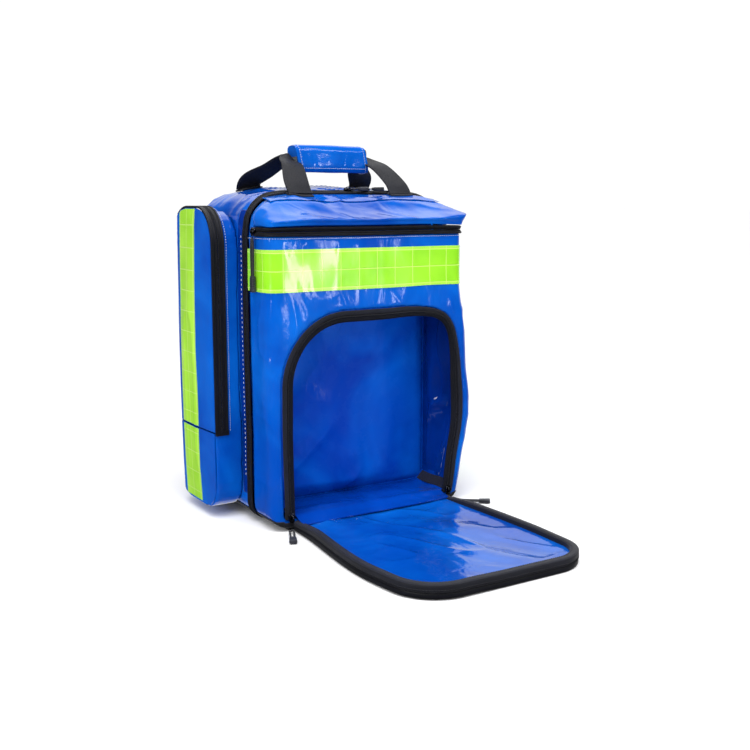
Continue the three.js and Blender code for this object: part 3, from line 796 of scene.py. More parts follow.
def main_zip_half(name, body, toward, replaces):
    """The tape and the coil on one side of the main zip. toward is -1 for the front half, 1 for the rear."""
    middle = loop + Y_AXIS * (ZIP_Y + toward * 0.0036)
    tape = sweep(middle, Y_AXIS, loop_out, rounded_section(0.0064, 0.0013, 0.0006, 2), True)
    cord = sweep(
        middle + Y_AXIS * toward * 0.0018, Y_AXIS, loop_out, rounded_section(0.0026, 0.0024, 0.0011, 3), True
    )
    parts = [tape, cord]
    parts.append(coil(middle - Y_AXIS * toward * 0.0018, Y_AXIS, loop_out, 0.0027, 0.0021, 0.0022, True))
    make(name, parts, body, tape_black, (replaces,))


main_zip_half("main_zip_front", "front_half", -1.0, "main_zip_front_tape")
main_zip_half("main_zip_rear", "rear_half", 1.0, "main_zip_rear_tape")


# ------------------------------------------------------------------ lid zip, band and their stitches
def front_run(back, z, grow=0.0, step=0.004):
    """The path round the bag's front at a height, from the left wall to the right one."""
    corners = (
        (-HALF_WIDTH - grow, back),
        (-HALF_WIDTH - grow, FRONT_Y - grow),
        (HALF_WIDTH + grow, FRONT_Y - grow),
        (HALF_WIDTH + grow, back),
    )
    flat, normals = outline(corners, PLAN_RADIUS + grow, step)
    return on_plane(flat, "xy", z), on_plane(normals, "xy")


def lid_zip_half(name, body, z, toward, replaces):
    """One side of the lid's zip. toward is 1 when the coil is on the upper edge."""
    run, out = front_run(-0.060, z)
    lip = sweep(run - Z_AXIS * toward * 0.0012, Z_AXIS, out, rounded_section(0.0036, 0.0030, 0.0014, 3))
    band = sweep(run, Z_AXIS, out, rounded_section(0.0054, 0.0010, 0.0005, 2))
    teeth = coil(run + Z_AXIS * toward * 0.0014, Z_AXIS, out, 0.0023, 0.0019, 0.0022)
    make(name, [band, lip, teeth], body, tape_black, (replaces,))


lid_zip_half("lid_zip_lower", "front_half", 0.3841, 1.0, "lid_zip_lower_tape")
lid_zip_half("lid_zip_upper", "lid", 0.3899, -1.0, "lid_zip_upper_tape")

run, out = front_run(-0.0455, 0.0)
BAND_HALF = 0.5 * (BAND_HIGH - BAND_LOW)
band_section = [(-BAND_HALF, 0.0)]
band_section += [(v * BAND_HALF, 0.0009) for v in np.linspace(-0.985, 0.985, 15)] + [(BAND_HALF, 0.0)]
band = sweep(run + Z_AXIS * 0.5 * (BAND_LOW + BAND_HIGH), Z_AXIS, out, np.array(band_section))
band[2][:] += (-0.0158, BAND_HALF - 0.0042)
make("reflective_wrap", [band], "front_half", hi_vis, ("reflective_band",))
seams = []
for z in (BAND_LOW + 0.0022, BAND_HIGH - 0.0022):
    seams.append(stitches(run + Z_AXIS * z, Z_AXIS, out, 0.0030, 0.0019, 0.0003, 0.0010))
make("band_stitches", seams, "front_half", hi_vis)
upper = stitches(run + Z_AXIS * 0.3785, Z_AXIS, out, lift=0.0002)
make("front_seam_stitches", [upper], "front_half", thread_white)


# The lid's cloth hinge.
LID_HINGE_Y = -0.0594
hinge_y = np.linspace(-0.0125, 0.0125, 15)
hinge_section = np.vstack([
    np.column_stack([hinge_y, 0.0010 - 0.0007 * ramp(np.abs(hinge_y), 0.008, 0.0125)]),
    np.column_stack([hinge_y[::-1], np.full(15, -0.0004)]),
])
hinge_x = np.linspace(-0.134, 0.134, 80)
hinge_path = np.column_stack([hinge_x, np.full(80, LID_HINGE_Y), np.full(80, SHELL_TOP)])
hinge = sweep(hinge_path, Y_AXIS, Z_AXIS, hinge_section)
bending = ("front_half", "lid", (0, LID_HINGE_Y + 0.0075, 0.437), (0, LID_HINGE_Y - 0.0075, 0.437))
make("lid_hinge_strip", [hinge], bending, cloth_blue)


# ------------------------------------------------------------------ the arched opening's tape
ARCH_CORNERS = (
    (ARCH_HALF, ARCH_LOW),
    (ARCH_HALF, ARCH_TOP),
    (-ARCH_HALF, ARCH_TOP),
    (-ARCH_HALF, ARCH_LOW),
)
arch_flat, arch_normals = outline(ARCH_CORNERS, ARCH_RADIUS, 0.004)
arch = on_plane(arch_flat, "xz", FRONT_Y)
arch_out = on_plane(arch_normals, "xz")
outer_section = rounded_section(0.0058, 0.0024, 0.0010, 3, -0.0006)
outer = sweep(arch + arch_out * 0.0110, arch_out, -Y_AXIS, outer_section)
inner_section = rounded_section(0.0088, 0.0012, 0.0005, 2, -0.0002)
inner = sweep(arch + arch_out * 0.0045, arch_out, -Y_AXIS, inner_section)
lip = sweep(arch + arch_out * 0.0004, arch_out, -Y_AXIS, rounded_section(0.0034, 0.0034, 0.0016, 3, -0.0026))
teeth = coil(arch + arch_out * 0.0056, arch_out, -Y_AXIS, 0.0028, 0.0023, 0.0022)
make("door_zip_tape", [inner, lip, teeth], "front_half", tape_black, ("door_zip_fixed_tape",))
make("door_zip_binding", [outer], "front_half", binding_grey)
edge = stitches(arch + arch_out * 0.0086, arch_out, -Y_AXIS, lift=0.0010)
make("door_zip_stitches", [edge], "front_half", thread_black)


# ------------------------------------------------------------------ door
DOOR_CORNERS = ((-DOOR_HALF, -0.108), (-DOOR_HALF, DOOR_FAR), (DOOR_HALF, DOOR_FAR), (DOOR_HALF, -0.108))
door_flat, door_normals = outline(DOOR_CORNERS, DOOR_RADIUS, 0.004)


def door_bow(points):
    """The door's outline is not a true rectangle: its sides bow out past the middle."""
    p = np.array(points, float)
    bow = bell(p[:, 1], DOOR_FAR - 0.04, -0.290, DOOR_NEAR)
    p[:, 0] += bow * (0.006 * ramp(p[:, 0], 0.0, 0.12) - 0.015 * ramp(-p[:, 0], 0.0, 0.12))
    p[:, 1] -= 0.008 * ramp(-p[:, 1], 0.150, 0.390)
    p[:, 2] += 0.0016 * (noise(p * (1, 1, 0), 0.07, 41) - 0.5) * ramp(-p[:, 1], 0.13, 0.2)
    return p


def door_part(part):
    return door_bow(part[0]), part[1], part[2]


rim_path = on_plane(door_flat, "xy")
rim_out = on_plane(door_normals, "xy")
rim_middle = rim_path - rim_out * 0.0052
rim_rise = 0.75 + 0.25 * ramp(-rim_path[:, 1], 0.108, 0.180)


def rim_sections(width, low, high, radius):
    """The rim's section, a little lower where it meets the bag."""
    section = rounded_section(width, high - low, radius, 4, low)
    sections = np.broadcast_to(section, (len(rim_path), *section.shape)).copy()
    sections[:, :, 1] *= rim_rise[:, None]
    return sections


upper_rim = sweep(rim_middle, rim_out, Z_AXIS, rim_sections(0.0112, 0.0087, 0.0178, 0.0030))
lower_rim = sweep(rim_middle, rim_out, Z_AXIS, rim_sections(0.0104, 0.0001, 0.0084, 0.0026))
make("door_rim_upper", [door_part(upper_rim)], "door", binding_grey, ("door_binding",), soft=False)
teeth_path = rim_path - rim_out * 0.0006 + Z_AXIS * (rim_rise * 0.0086)[:, None]
teeth = coil(teeth_path, Z_AXIS, rim_out, 0.0022, 0.0012, 0.0022)
make("door_rim_lower", [door_part(lower_rim), door_part(teeth)], "door", tape_black, soft=False)
top_row = rim_middle - rim_out * 0.0028 + Z_AXIS * (rim_rise * 0.0180)[:, None]
side_row = rim_path + rim_out * 0.0003 + Z_AXIS * (rim_rise * 0.0112)[:, None]
rows = [
    door_part(stitches(top_row, rim_out, Z_AXIS)),
    door_part(stitches(side_row, Z_AXIS, rim_out)),
]
make("door_rim_stitches", rows, "door", thread_black, soft=False)


def door_face(name, level, thick, relief, material, replaces=()):
    """A face of the door: a sheet inside the rim, filled out to the rim's line, with folds."""
    inset = 0.0085
    reach = DOOR_RADIUS - inset
    columns, lines = 96, 118
    xs = np.linspace(-(DOOR_HALF - inset), DOOR_HALF - inset, columns)
    ys = np.linspace(DOOR_FAR + inset, DOOR_NEAR - 0.002, lines)
    grid = np.stack(np.meshgrid(xs, ys, indexing="xy"), axis=-1).reshape(-1, 2)
    # Pull the far corners in to the rim's curve.
    half = DOOR_HALF - inset
    depth = np.clip((DOOR_FAR + inset + reach - grid[:, 1]) / reach, 0.0, 1.0)
    width = half - reach + reach * np.sqrt(np.clip(1.0 - depth**2, 0.0, 1.0))
    grid[:, 0] *= width / half
    flat = np.column_stack([grid, np.zeros(len(grid))])
    side = np.minimum(half - np.abs(np.tile(xs, lines)), grid[:, 1] - (DOOR_FAR + inset))
    free = ramp(side, 0.001, 0.030) * ramp(-grid[:, 1], 0.108, 0.135)
    top = door_bow(flat + Z_AXIS * level)
    top[:, 2] += relief(flat) * free
    part = sheet_part(top, -Z_AXIS * thick, lines, columns, grid)
    return make(name, [part], "door", material, replaces, soft=False)


def inner_relief(p):
    """Loose folds of the door's inner face: they run from the hinge toward the far right corner."""
    skew = np.column_stack([p[:, 0] + 0.45 * p[:, 1], p[:, 1] - 0.2 * p[:, 0], p[:, 2]])
    broad = noise(skew, (0.070, 0.110, 1.0), 51) - 0.5
    fine = ridge(skew, (0.040, 0.085, 1.0), 53, 3.0)
    small = noise(p, 0.022, 57) - 0.5
    puckers = ridge(p, (0.020, 0.020, 1.0), 59, 2.0) * ramp(np.abs(p[:, 0]), 0.085, 0.112)
    return broad * 0.0058 + fine * 0.0022 + small * 0.0010 + puckers * 0.0012 - 0.0012


def outer_relief(p):
    return -(noise(p, (0.09, 0.12, 1.0), 61) - 0.5) * 0.0016


door_face("door_inner_face", 0.0112, 0.0012, inner_relief, cloth_blue, ("door_panel",))
door_face("door_outer_face", 0.0046, 0.0012, outer_relief, cloth_blue)

# Each of the door's pieces gets a mesh of its own.
for name in ("door_rim_upper", "door_rim_lower", "door_rim_stitches", "door_inner_face", "door_outer_face"):
    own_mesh(bpy.data.objects[name])

# The strip of cloth that joins the door to the bag.
STRIP_HALF = 0.1165
STRIP_POINTS = ((-0.0900, 0.0186), (-0.1010, 0.0188), (-0.1075, 0.0170), (-0.1150, 0.0144), (-0.1260, 0.0130))
strip_path = curve([(0, y, z) for y, z in STRIP_POINTS], 0.0010)
strip = sweep(
    strip_path,
    X_AXIS,
    np.cross(directions(strip_path), X_AXIS) * -1.0,
    rounded_section(2 * STRIP_HALF, 0.0016, 0.0007, 2, -0.0008),
)
bending = ("front_half", "door", (0, -0.1030, 0.0180), (0, -0.1150, 0.0144))
cloth = strip[0]
dips = noise(cloth, (0.035, 0.012, 1.0), 65) - 0.6
cloth[:, 2] += 0.0022 * dips * bell(cloth[:, 1], -0.128, -0.108, -0.088)
uneven = noise(cloth, (0.030, 1.0, 1.0), 67) - 0.5
cloth[:, 1] += 0.0050 * uneven * ramp(-cloth[:, 1], 0.118, 0.126)
# The strip takes the floor's darker copy of the cloth: painted shade.
make("door_hinge_strip", [strip], bending, shaded_floor_blue, soft=False)


# ------------------------------------------------------------------ handle
def leg(foot_x, foot_y, top_x, bar_y, bar_z, sag, drop):
    """One leg of a webbing loop: it stands up from its sewn foot, turns and runs in under the grip."""
    side = math.copysign(1.0, foot_x)
    return [
        (foot_x, foot_y, SHELL_TOP + 0.0035 - drop),
        (
            foot_x - side * 0.001,
            foot_y + (bar_y - foot_y) * 0.20,
            SHELL_TOP + 0.0035 - 0.7 * drop + (bar_z - SHELL_TOP) * 0.30,
        ),
        (
            foot_x + side * (top_x - abs(foot_x)) * 0.55,
            foot_y + (bar_y - foot_y) * 0.62,
            SHELL_TOP + (bar_z - SHELL_TOP) * (0.78 - sag),
        ),
        (side * top_x, bar_y, bar_z - 0.002),
        (side * (top_x - 0.016), bar_y, bar_z),
    ]


def loop_piece(name, body, foot_x, foot_y, bar_y, bar_z, sag, replaces):
    """A webbing loop: two legs, the bar between them, and rows of stitches along its edges."""
    top_x = 0.060
    drop = 0.0058 if foot_y < 0 else -0.0010
    left = leg(-foot_x, foot_y, top_x, bar_y, bar_z, sag, drop)
    right = leg(foot_x, foot_y, top_x, bar_y, bar_z, sag, drop)
    path = curve(left + right[::-1], 0.0030)
    along = directions(path)
    # The strap lies flat to the front at its feet and under the grip.
    lean = np.array([0.0, bar_y - foot_y, bar_z - SHELL_TOP])
    lean = lean / np.linalg.norm(lean)
    face = np.cross(X_AXIS, lean)
    across = np.cross(along, face)
    across = across / np.linalg.norm(across, axis=1)[:, None]
    narrow = 1.0 - 0.25 * (1.0 - ramp(np.abs(path[:, 0]), top_x - 0.004, foot_x + 0.004))
    narrow -= 0.30 * (1.0 - ramp(np.abs(path[:, 0]), top_x - 0.014, top_x - 0.002))
    section = rounded_section(0.036, 0.0022, 0.0009, 2, -0.0011)
    sections = np.broadcast_to(section, (len(path), *section.shape)).copy()
    sections[:, :, 0] *= narrow[:, None]
    strap = sweep(path, across, np.cross(across, along), sections)
    edges = []
    for edge in (-0.0155, 0.0155):
        row = path + across * (edge * narrow)[:, None]
        for sign in (-1.0, 1.0):
            edges.append(stitches(row, across, np.cross(across, along) * sign, lift=0.0010))
    make(name, [strap], body, webbing_black, (replaces,), soft=False)
    make(name + "_stitches", edges, body, thread_black, soft=False)


loop_piece("front_handle_strap", "front_loop", 0.078, -0.0540, 0.010, 0.482, 0.0, "handle_front_loop")
loop_piece("rear_handle_strap", "rear_loop", 0.090, 0.0800, 0.037, 0.480, 0.10, "handle_rear_loop")


def strap_foot(name, centre_x, centre_y, body, width=0.036, depth=0.016):
    """The end of a handle strap, sewn flat on the bag's top with a boxed cross."""
    level = SHELL_TOP + 0.0006
    path = np.array([(centre_x - width / 2 + width * t, centre_y, level) for t in np.linspace(0, 1, 12)])
    patch = sweep(path, Y_AXIS, Z_AXIS, rounded_section(depth, 0.0022, 0.0009, 2))
    x0, x1 = centre_x - width / 2 + 0.003, centre_x + width / 2 - 0.003
    y0, y1 = centre_y - depth / 2 + 0.0025, centre_y + depth / 2 - 0.0025
    rows = []
    corners = [(x0, y0), (x1, y0), (x1, y1), (x0, y1), (x0, y0), (x1, y1)]
    for a, b in zip(corners, corners[1:]):
        line = np.array([(*a, level + 0.0022), (*b, level + 0.0022)])
        side = np.cross(Z_AXIS, (line[1] - line[0]) / np.linalg.norm(line[1] - line[0]))
        rows.append(stitches(line, side, Z_AXIS, lift=0.0001))
    make(name, [patch], body, webbing_black)
    make(name + "_stitches", rows, body, thread_black)


for side, sign in (("left", -1.0), ("right", 1.0)):
    strap_foot(f"front_strap_foot_{side}", sign * 0.078, -0.0526, "front_half", depth=0.0125)
    strap_foot(f"rear_strap_foot_{side}", sign * 0.090, 0.0775, "rear_half")


SLANT = 0.22


def grip():
    """The padded wrap round the front strap: a closed sleeve with a flap, sewn along its ends."""
    half_x = 0.0545
    centre_y, centre_z = 0.010, 0.482
    ring = []
    # Seen from the end: flat top, sides that swell, and a lower edge where the flap closes.
    for k in range(48):
        a = 2 * math.pi * k / 48
        c, s = math.cos(a), math.sin(a)
        r_y = 0.0145 * math.copysign(abs(c) ** 0.55, c)
        r_z = 0.0185 * math.copysign(abs(s) ** 0.62, s)
        ring.append((r_y - 0.0022 * (s > 0) * s, r_z))
    ring = np.array(ring)
    xs = np.linspace(-half_x, half_x, 60)
    path = np.column_stack([xs, np.full(60, centre_y), np.full(60, centre_z)])
    outer = np.broadcast_to(ring, (60, 48, 2)).copy()
    ends = 1.0 - 0.05 * np.exp(-(((half_x - np.abs(xs)) / 0.0035) ** 2))
    outer *= ends[:, None, None]
    skin, faces, uv = sweep(path, Y_AXIS, Z_AXIS, outer)
    dents = noise(skin, (0.030, 0.014, 0.014), 71) - 0.5
    normal = skin - np.column_stack([skin[:, 0], np.full(len(skin), centre_y), np.full(len(skin), centre_z)])
    normal = normal / np.maximum(np.linalg.norm(normal, axis=1), 1e-6)[:, None]
    skin = skin + normal * (dents * 0.0018)[:, None]
    skin[:, 0] -= (skin[:, 2] - centre_z) * SLANT
    inner_xs = np.linspace(-half_x - 0.0005, half_x + 0.0005, 4)
    inner_path = np.column_stack([inner_xs, np.full(4, centre_y), np.full(4, centre_z)])
    make("grip_skin", [(skin, faces, uv)], "front_loop", cloth_blue, ("grip_wrap",), soft=False)
    core = sweep(inner_path, Y_AXIS, Z_AXIS, ring * 0.80)
    make("grip_core", [core], "front_loop", foam_mesh, soft=False)
    rows = []
    for x in (-half_x + 0.0045, half_x - 0.0045):
        closed = np.vstack([ring, ring[:1]]) * 0.995
        loop_points = np.array([(x, centre_y + y, centre_z + z) for y, z in closed])
        up = loop_points - np.array([x, centre_y, centre_z])
        up = up / np.linalg.norm(up, axis=1)[:, None]
        loop_points[:, 0] -= (loop_points[:, 2] - centre_z) * SLANT
        rows.append(stitches(loop_points, X_AXIS, up, lift=0.0004))
    for z, y in ((0.0135, -0.0132), (-0.0128, -0.0134)):
        line = np.column_stack([xs[3:-3] - z * SLANT, np.full(54, centre_y + y), np.full(54, centre_z + z)])
        rows.append(stitches(line, Z_AXIS, -Y_AXIS, lift=0.0004))
    make("grip_stitches", rows, "front_loop", thread_white, soft=False)


grip()


# ------------------------------------------------------------------ front compartment's lining
LINING_HALF, LINING_LOW, LINING_HIGH, LINING_RADIUS = 0.1362, 0.0178, 0.3790, 0.022
LINING_FRONT, LINING_REAR = -0.1004, -0.0275


def lining(name, keep, material, crumple):
    """Part of the compartment's walls and floor, from the arch's edge back to its rear wall."""
    corners = (
        (-LINING_HALF, LINING_HIGH),
        (-LINING_HALF, LINING_LOW),
        (LINING_HALF, LINING_LOW),
        (LINING_HALF, LINING_HIGH),
    )
    flat, normals = outline(corners, LINING_RADIUS, 0.0030)
    chosen = keep(flat)
    flat, normals = flat[chosen], normals[chosen]
    lines, count = 40, len(flat)
    verts, uv = [], []
    for y in np.linspace(LINING_FRONT, LINING_REAR, lines):
        row = on_plane(flat, "xz", y)
        depth = (y - LINING_FRONT) / (LINING_REAR - LINING_FRONT)
        free = bell(np.full(count, depth), 0.0, 0.5, 1.02) * ramp(row[:, 2], LINING_LOW, 0.050)
        floor = bell(np.full(count, depth), 0.0, 0.5, 1.0) * (1.0 - ramp(row[:, 2], LINING_LOW, 0.030))
        probe = np.column_stack([row[:, 0] * 0.1 + y, row[:, 2] + 0.35 * y, row[:, 0]])
        fold = ridge(probe, (0.022, 0.075, 0.2), 83, 3.0) * 0.0040
        fold += (noise(probe, (0.03, 0.05, 0.2), 85) - 0.4) * 0.0050
        level = (noise(row, (0.050, 0.030, 1.0), 87) - 0.3) * 0.0040
        row = row - on_plane(normals, "xz") * (fold * free * crumple + level * floor)[:, None]
        verts.append(row)
        uv.append(np.column_stack([np.linspace(0.0, 1.0, count), np.full(count, depth)]))
    shift = np.tile(on_plane(normals, "xz"), (lines, 1)) * 0.0010
    part = sheet_part(np.concatenate(verts), shift, lines, count, np.concatenate(uv))
    make(name, [part], "front_half", material)


# The side walls take the darker copy of the cloth as painted shade; the floor takes its own darker
# painted-shade copy.
lining("lining_left", lambda flat: (flat[:, 0] < 0) & (flat[:, 1] > 0.030), shaded_wall_blue, 1.0)
lining("lining_floor", lambda flat: flat[:, 1] < 0.0345, shaded_floor_blue, 0.0)
lining("lining_right", lambda flat: (flat[:, 0] > 0) & (flat[:, 1] > 0.030), shaded_wall_blue, 2.5)


def compartment_back():
    """The compartment's rear wall: loose cloth in long upright folds, tucked behind the side walls."""
    columns, lines = 90, 110
    xs = np.linspace(-LINING_HALF, LINING_HALF, columns)
    zs = np.linspace(LINING_LOW, LINING_HIGH, lines)
    grid = np.stack(np.meshgrid(xs, zs, indexing="xy"), axis=-1).reshape(-1, 2)
    at = np.column_stack([grid[:, 0], 0.0 * grid[:, 0], grid[:, 1]])
    edge = np.minimum(LINING_HALF - np.abs(grid[:, 0]), grid[:, 1] - LINING_LOW)
    free = ramp(edge, 0.0, 0.020)
    upright = noise(at + at[:, ::-1] * 0.10, (0.060, 1.0, 0.34), 141) - 0.35
    skew = np.column_stack([at[:, 0] + 0.8 * at[:, 2], at[:, 1], at[:, 2] - 0.9 * at[:, 0]])
    slanted = ridge(skew, (0.16, 1.0, 0.055), 143, 2.0)
    low_left = ramp(0.11 - at[:, 0] - 0.6 * at[:, 2], 0.0, 0.10)
    dents = noise(at, (0.035, 1.0, 0.050), 145) - 0.5
    bulge = upright * 0.0120 + slanted * 0.0050 * low_left + dents * 0.0016
    y = -0.0290 - 0.0040 * free - bulge * free + 0.0035 * (1.0 - ramp(edge, 0.0, 0.006))
    points = np.column_stack([grid[:, 0], y, grid[:, 1]])
    shift = np.tile(Y_AXIS * 0.0010, (len(points), 1))
    part = sheet_part(points, shift, lines, columns, grid)
    # The rear wall takes the lighter copy of the cloth: painted light.
    make("compartment_back", [part], "front_half", lit_backing_blue)


compartment_back()
crease_path = np.column_stack([np.zeros(24), np.linspace(-0.0985, -0.0340, 24), np.full(24, 0.0245)])
for side, sign in (("left", -1.0), ("right", 1.0)):
    wave = 0.0012 * np.sin(np.linspace(0.0, 7.0, 24))
    path = crease_path + X_AXIS * (sign * 0.1275) + np.outer(wave, X_AXIS)
    slope = np.array([sign * 0.7071, 0.0, 0.7071])
    face = np.array([-sign * 0.7071, 0.0, 0.7071])
    tape = sweep(path, slope, face, rounded_section(0.0150, 0.0030, 0.0012, 3, -0.0012))
    make(f"floor_binding_{side}", [tape], "front_half", binding_grey)


# ------------------------------------------------------------------ side pockets
POCKET_FRONT = -0.014
POCKET_REAR = 0.120
POCKET_LOW = 0.012
POCKET_HIGH = 0.411
POCKET_FOLD = 0.1205
POCKET_FACE = 0.188


def pocket_dome(y, z):
    """How far the pocket's outer panel swells out at each place."""
    across = np.clip((y - POCKET_FRONT) / (POCKET_REAR - POCKET_FRONT), 0.0, 1.0)
    along = np.clip((z - POCKET_LOW) / (POCKET_HIGH - POCKET_LOW), 0.0, 1.0)
    crown = (np.sin(np.pi * across) * np.sin(np.pi * along).clip(0.0, 1.0)) ** 0.6
    at = np.column_stack([across * 0.0, y, z])
    dents = noise(at, (1.0, 0.045, 0.080), 91) - 0.5
    folds = ridge(at, (1.0, 0.030, 0.110), 93, 4.0)
    return crown * 0.0042 + crown * (dents * 0.0030 + folds * 0.0010)


def pocket_panel(
    z_low, z_high, inset, y_low=None, y_high=None, lift=0.0, thick=0.0011, columns=46, lines=110
):
    """A patch of the pocket's outer panel as a thin closed sheet, cut to the pocket's round outline."""
    front, rear = POCKET_FRONT + inset, POCKET_REAR - inset
    zs = np.linspace(z_low, z_high, lines)
    rows = []
    for z in zs:
        low, high = front, rear
        for radius, side, end in (
            (0.046 - inset, -1, 1),
            (0.054 - inset, 1, 1),
            (0.036 - inset, -1, -1),
            (0.044 - inset, 1, -1),
        ):
            edge = POCKET_HIGH - inset - radius if end > 0 else POCKET_LOW + inset + radius
            past = (z - edge) * end
            if past > 0:
                cut = radius - math.sqrt(max(radius**2 - past**2, 0.0))
                low, high = (low + cut, high) if side < 0 else (low, high - cut)
        low = low if y_low is None else max(low, y_low)
        high = high if y_high is None else min(high, y_high)
        rows.append(np.column_stack([np.linspace(low, high, columns), np.full(columns, z)]))
    flat = np.concatenate(rows)
    top = np.column_stack([POCKET_FACE + 0.0008 + lift + pocket_dome(flat[:, 0], flat[:, 1]), flat])
    uv = np.column_stack([flat[:, 1], flat[:, 0] - (0.060 - 0.0228)])
    return sheet_part(top, -X_AXIS * thick, lines, columns, uv)


def mirrored(part, sign):
    return (part[0] + pocket_fill(part[0])) * (sign, 1.0, 1.0), part[1], part[2]


def side_pocket(name, sign):
    """The pocket's outer panel, its zip round the edge, the reflective stripe and the seams."""
    flap_body = f"{name}_flap"
    node = f"{name}_pocket"
    flap = pocket_panel(POCKET_FOLD + 0.001, POCKET_HIGH - 0.0006, 0.0006)
    fold = (sign * POCKET_FACE, 0.053)
    folding = ("rear_half", flap_body, (*fold, POCKET_FOLD - 0.0005), (*fold, POCKET_FOLD + 0.0100))
    panel = [mirrored(flap, sign)]
    make(f"{node}_panel", panel, folding, cloth_blue, (f"{node}_flap",), soft=False)
    lower = pocket_panel(POCKET_LOW + 0.002, POCKET_FOLD - 0.0012, 0.002, lines=44)
    make(f"{node}_lower_panel", [mirrored(lower, sign)], "rear_half", cloth_blue, soft=False)
    for label, low, high, body in (
        ("upper", POCKET_FOLD + 0.002, POCKET_HIGH - 0.0016, folding),
        ("lower", POCKET_LOW + 0.005, POCKET_FOLD - 0.002, "rear_half"),
    ):
        stripe = [mirrored(pocket_panel(low, high, 0.0016, 0.034, 0.086, 0.0007, columns=20), sign)]
        target = f"{node}_stripe_{label}"
        make(f"{node}_tape_{label}", stripe, body, hi_vis_soft, (target,), soft=False)

    corners = (
        (POCKET_FRONT, POCKET_FOLD + 0.001),
        (POCKET_FRONT, POCKET_HIGH),
        (POCKET_REAR, POCKET_HIGH),
        (POCKET_REAR, POCKET_FOLD + 0.001),
    )
    flat, normals = outline(corners, [0.0, 0.046, 0.054, 0.0], 0.0035)
    path = on_plane(flat, "yz")
    out = -on_plane(normals, "yz")
    side = X_AXIS

    def run(x, section):
        return mirrored(sweep(path + X_AXIS * x, side, out, section), sign)

    flap_tape = [
        run(0.1838, rounded_section(0.0096, 0.0014, 0.0006, 2)),
        run(0.1869, rounded_section(0.0036, 0.0032, 0.0015, 3, -0.0006)),
        mirrored(coil(path + X_AXIS * 0.1802, side, out, 0.0026, 0.0022, 0.0022), sign),
    ]
    make(f"{node}_zip_outer", flap_tape, flap_body, tape_black, soft=False)
    shell_tape = [
        run(0.1742, rounded_section(0.0088, 0.0014, 0.0006, 2)),
        run(0.1712, rounded_section(0.0030, 0.0026, 0.0012, 3)),
        mirrored(coil(path + X_AXIS * 0.1774, side, out, 0.0026, 0.0022, 0.0022), sign),
    ]
    target = f"{node}_zip_tape"
    make(f"{node}_zip_inner", shell_tape, "rear_half", tape_black, (target,), soft=False)
    heights = (POCKET_FOLD - 0.004, POCKET_FOLD - 0.001, POCKET_FOLD + 0.002)
    end_path = np.array([(0.1788, POCKET_FRONT - 0.0002, z) for z in heights])
    end = sweep(end_path, X_AXIS, -Y_AXIS, rounded_section(0.0196, 0.0022, 0.0009, 2))
    make(f"{node}_zip_end", [mirrored(end, sign)], "rear_half", tape_black, soft=False)
    row = mirrored(stitches(path + X_AXIS * 0.1668, side, out, lift=0.0002), sign)
    make(f"{node}_stitches", [row], "rear_half", thread_white, soft=False)


for side, sign in (("left", -1.0), ("right", 1.0)):
    side_pocket(side, sign)


# ------------------------------------------------------------------ sliders and pulls
def placed(part, origin, along, across, out):
    """A part drawn along x, across y and away in z, set down at a place on the bag."""
    frame_axes = np.stack([along, across, out])
    return part[0] @ frame_axes + np.asarray(origin, float), part[1], part[2]


def straight(xs, z=0.0):
    return np.column_stack([xs, np.zeros(len(xs)), np.full(len(xs), z)])


def slider(name, body, origin, along, out, replaces):
    """A coil slider: a waisted body, its open mouth, and the bridge that holds the pull."""
    across = np.cross(out, along)
    xs = np.array([-6.6, -6.2, -4.8, -2.0, 1.5, 3.6, 5.4, 6.4, 6.7]) * 0.001
    widths = np.array([3.2, 5.0, 6.6, 7.6, 8.2, 8.4, 7.6, 5.6, 4.0]) / 8.4
    base = rounded_section(0.0084, 0.0026, 0.0010, 3, 0.0012)
    sections = np.broadcast_to(base, (len(xs), *base.shape)).copy()
    sections[:, :, 0] *= widths[:, None]
    sections[0, :, 1] = 0.0025 + (sections[0, :, 1] - 0.0025) * 0.5
    sections[-1, :, 1] = 0.0025 + (sections[-1, :, 1] - 0.0025) * 0.5
    body_part = sweep(straight(xs), Y_AXIS, Z_AXIS, sections)
    bridge_line = ((-0.0040, 0.0032), (-0.0026, 0.0052), (0.0005, 0.0058), (0.0036, 0.0050), (0.0046, 0.0032))
    bridge_path = curve([(x, 0, z) for x, z in bridge_line], 0.0005)
    bridge_face = np.cross(directions(bridge_path), Y_AXIS)
    bridge = sweep(bridge_path, Y_AXIS, bridge_face, rounded_section(0.0026, 0.0011, 0.0005, 3, -0.0005))
    rails = []
    for edge in (-1.0, 1.0):
        rail = [(-0.0050, 0.0028, 0.0038), (0.0, 0.0036, 0.0040), (0.0050, 0.0030, 0.0038)]
        rails.append(tube(curve([(x, edge * y, z) for x, y, z in rail], 0.0008), 0.0004))
    parts = [placed(p, origin, along, across, out) for p in (body_part, bridge, *rails)]
    make(name, parts, body, metal_dark, replaces, soft=False)


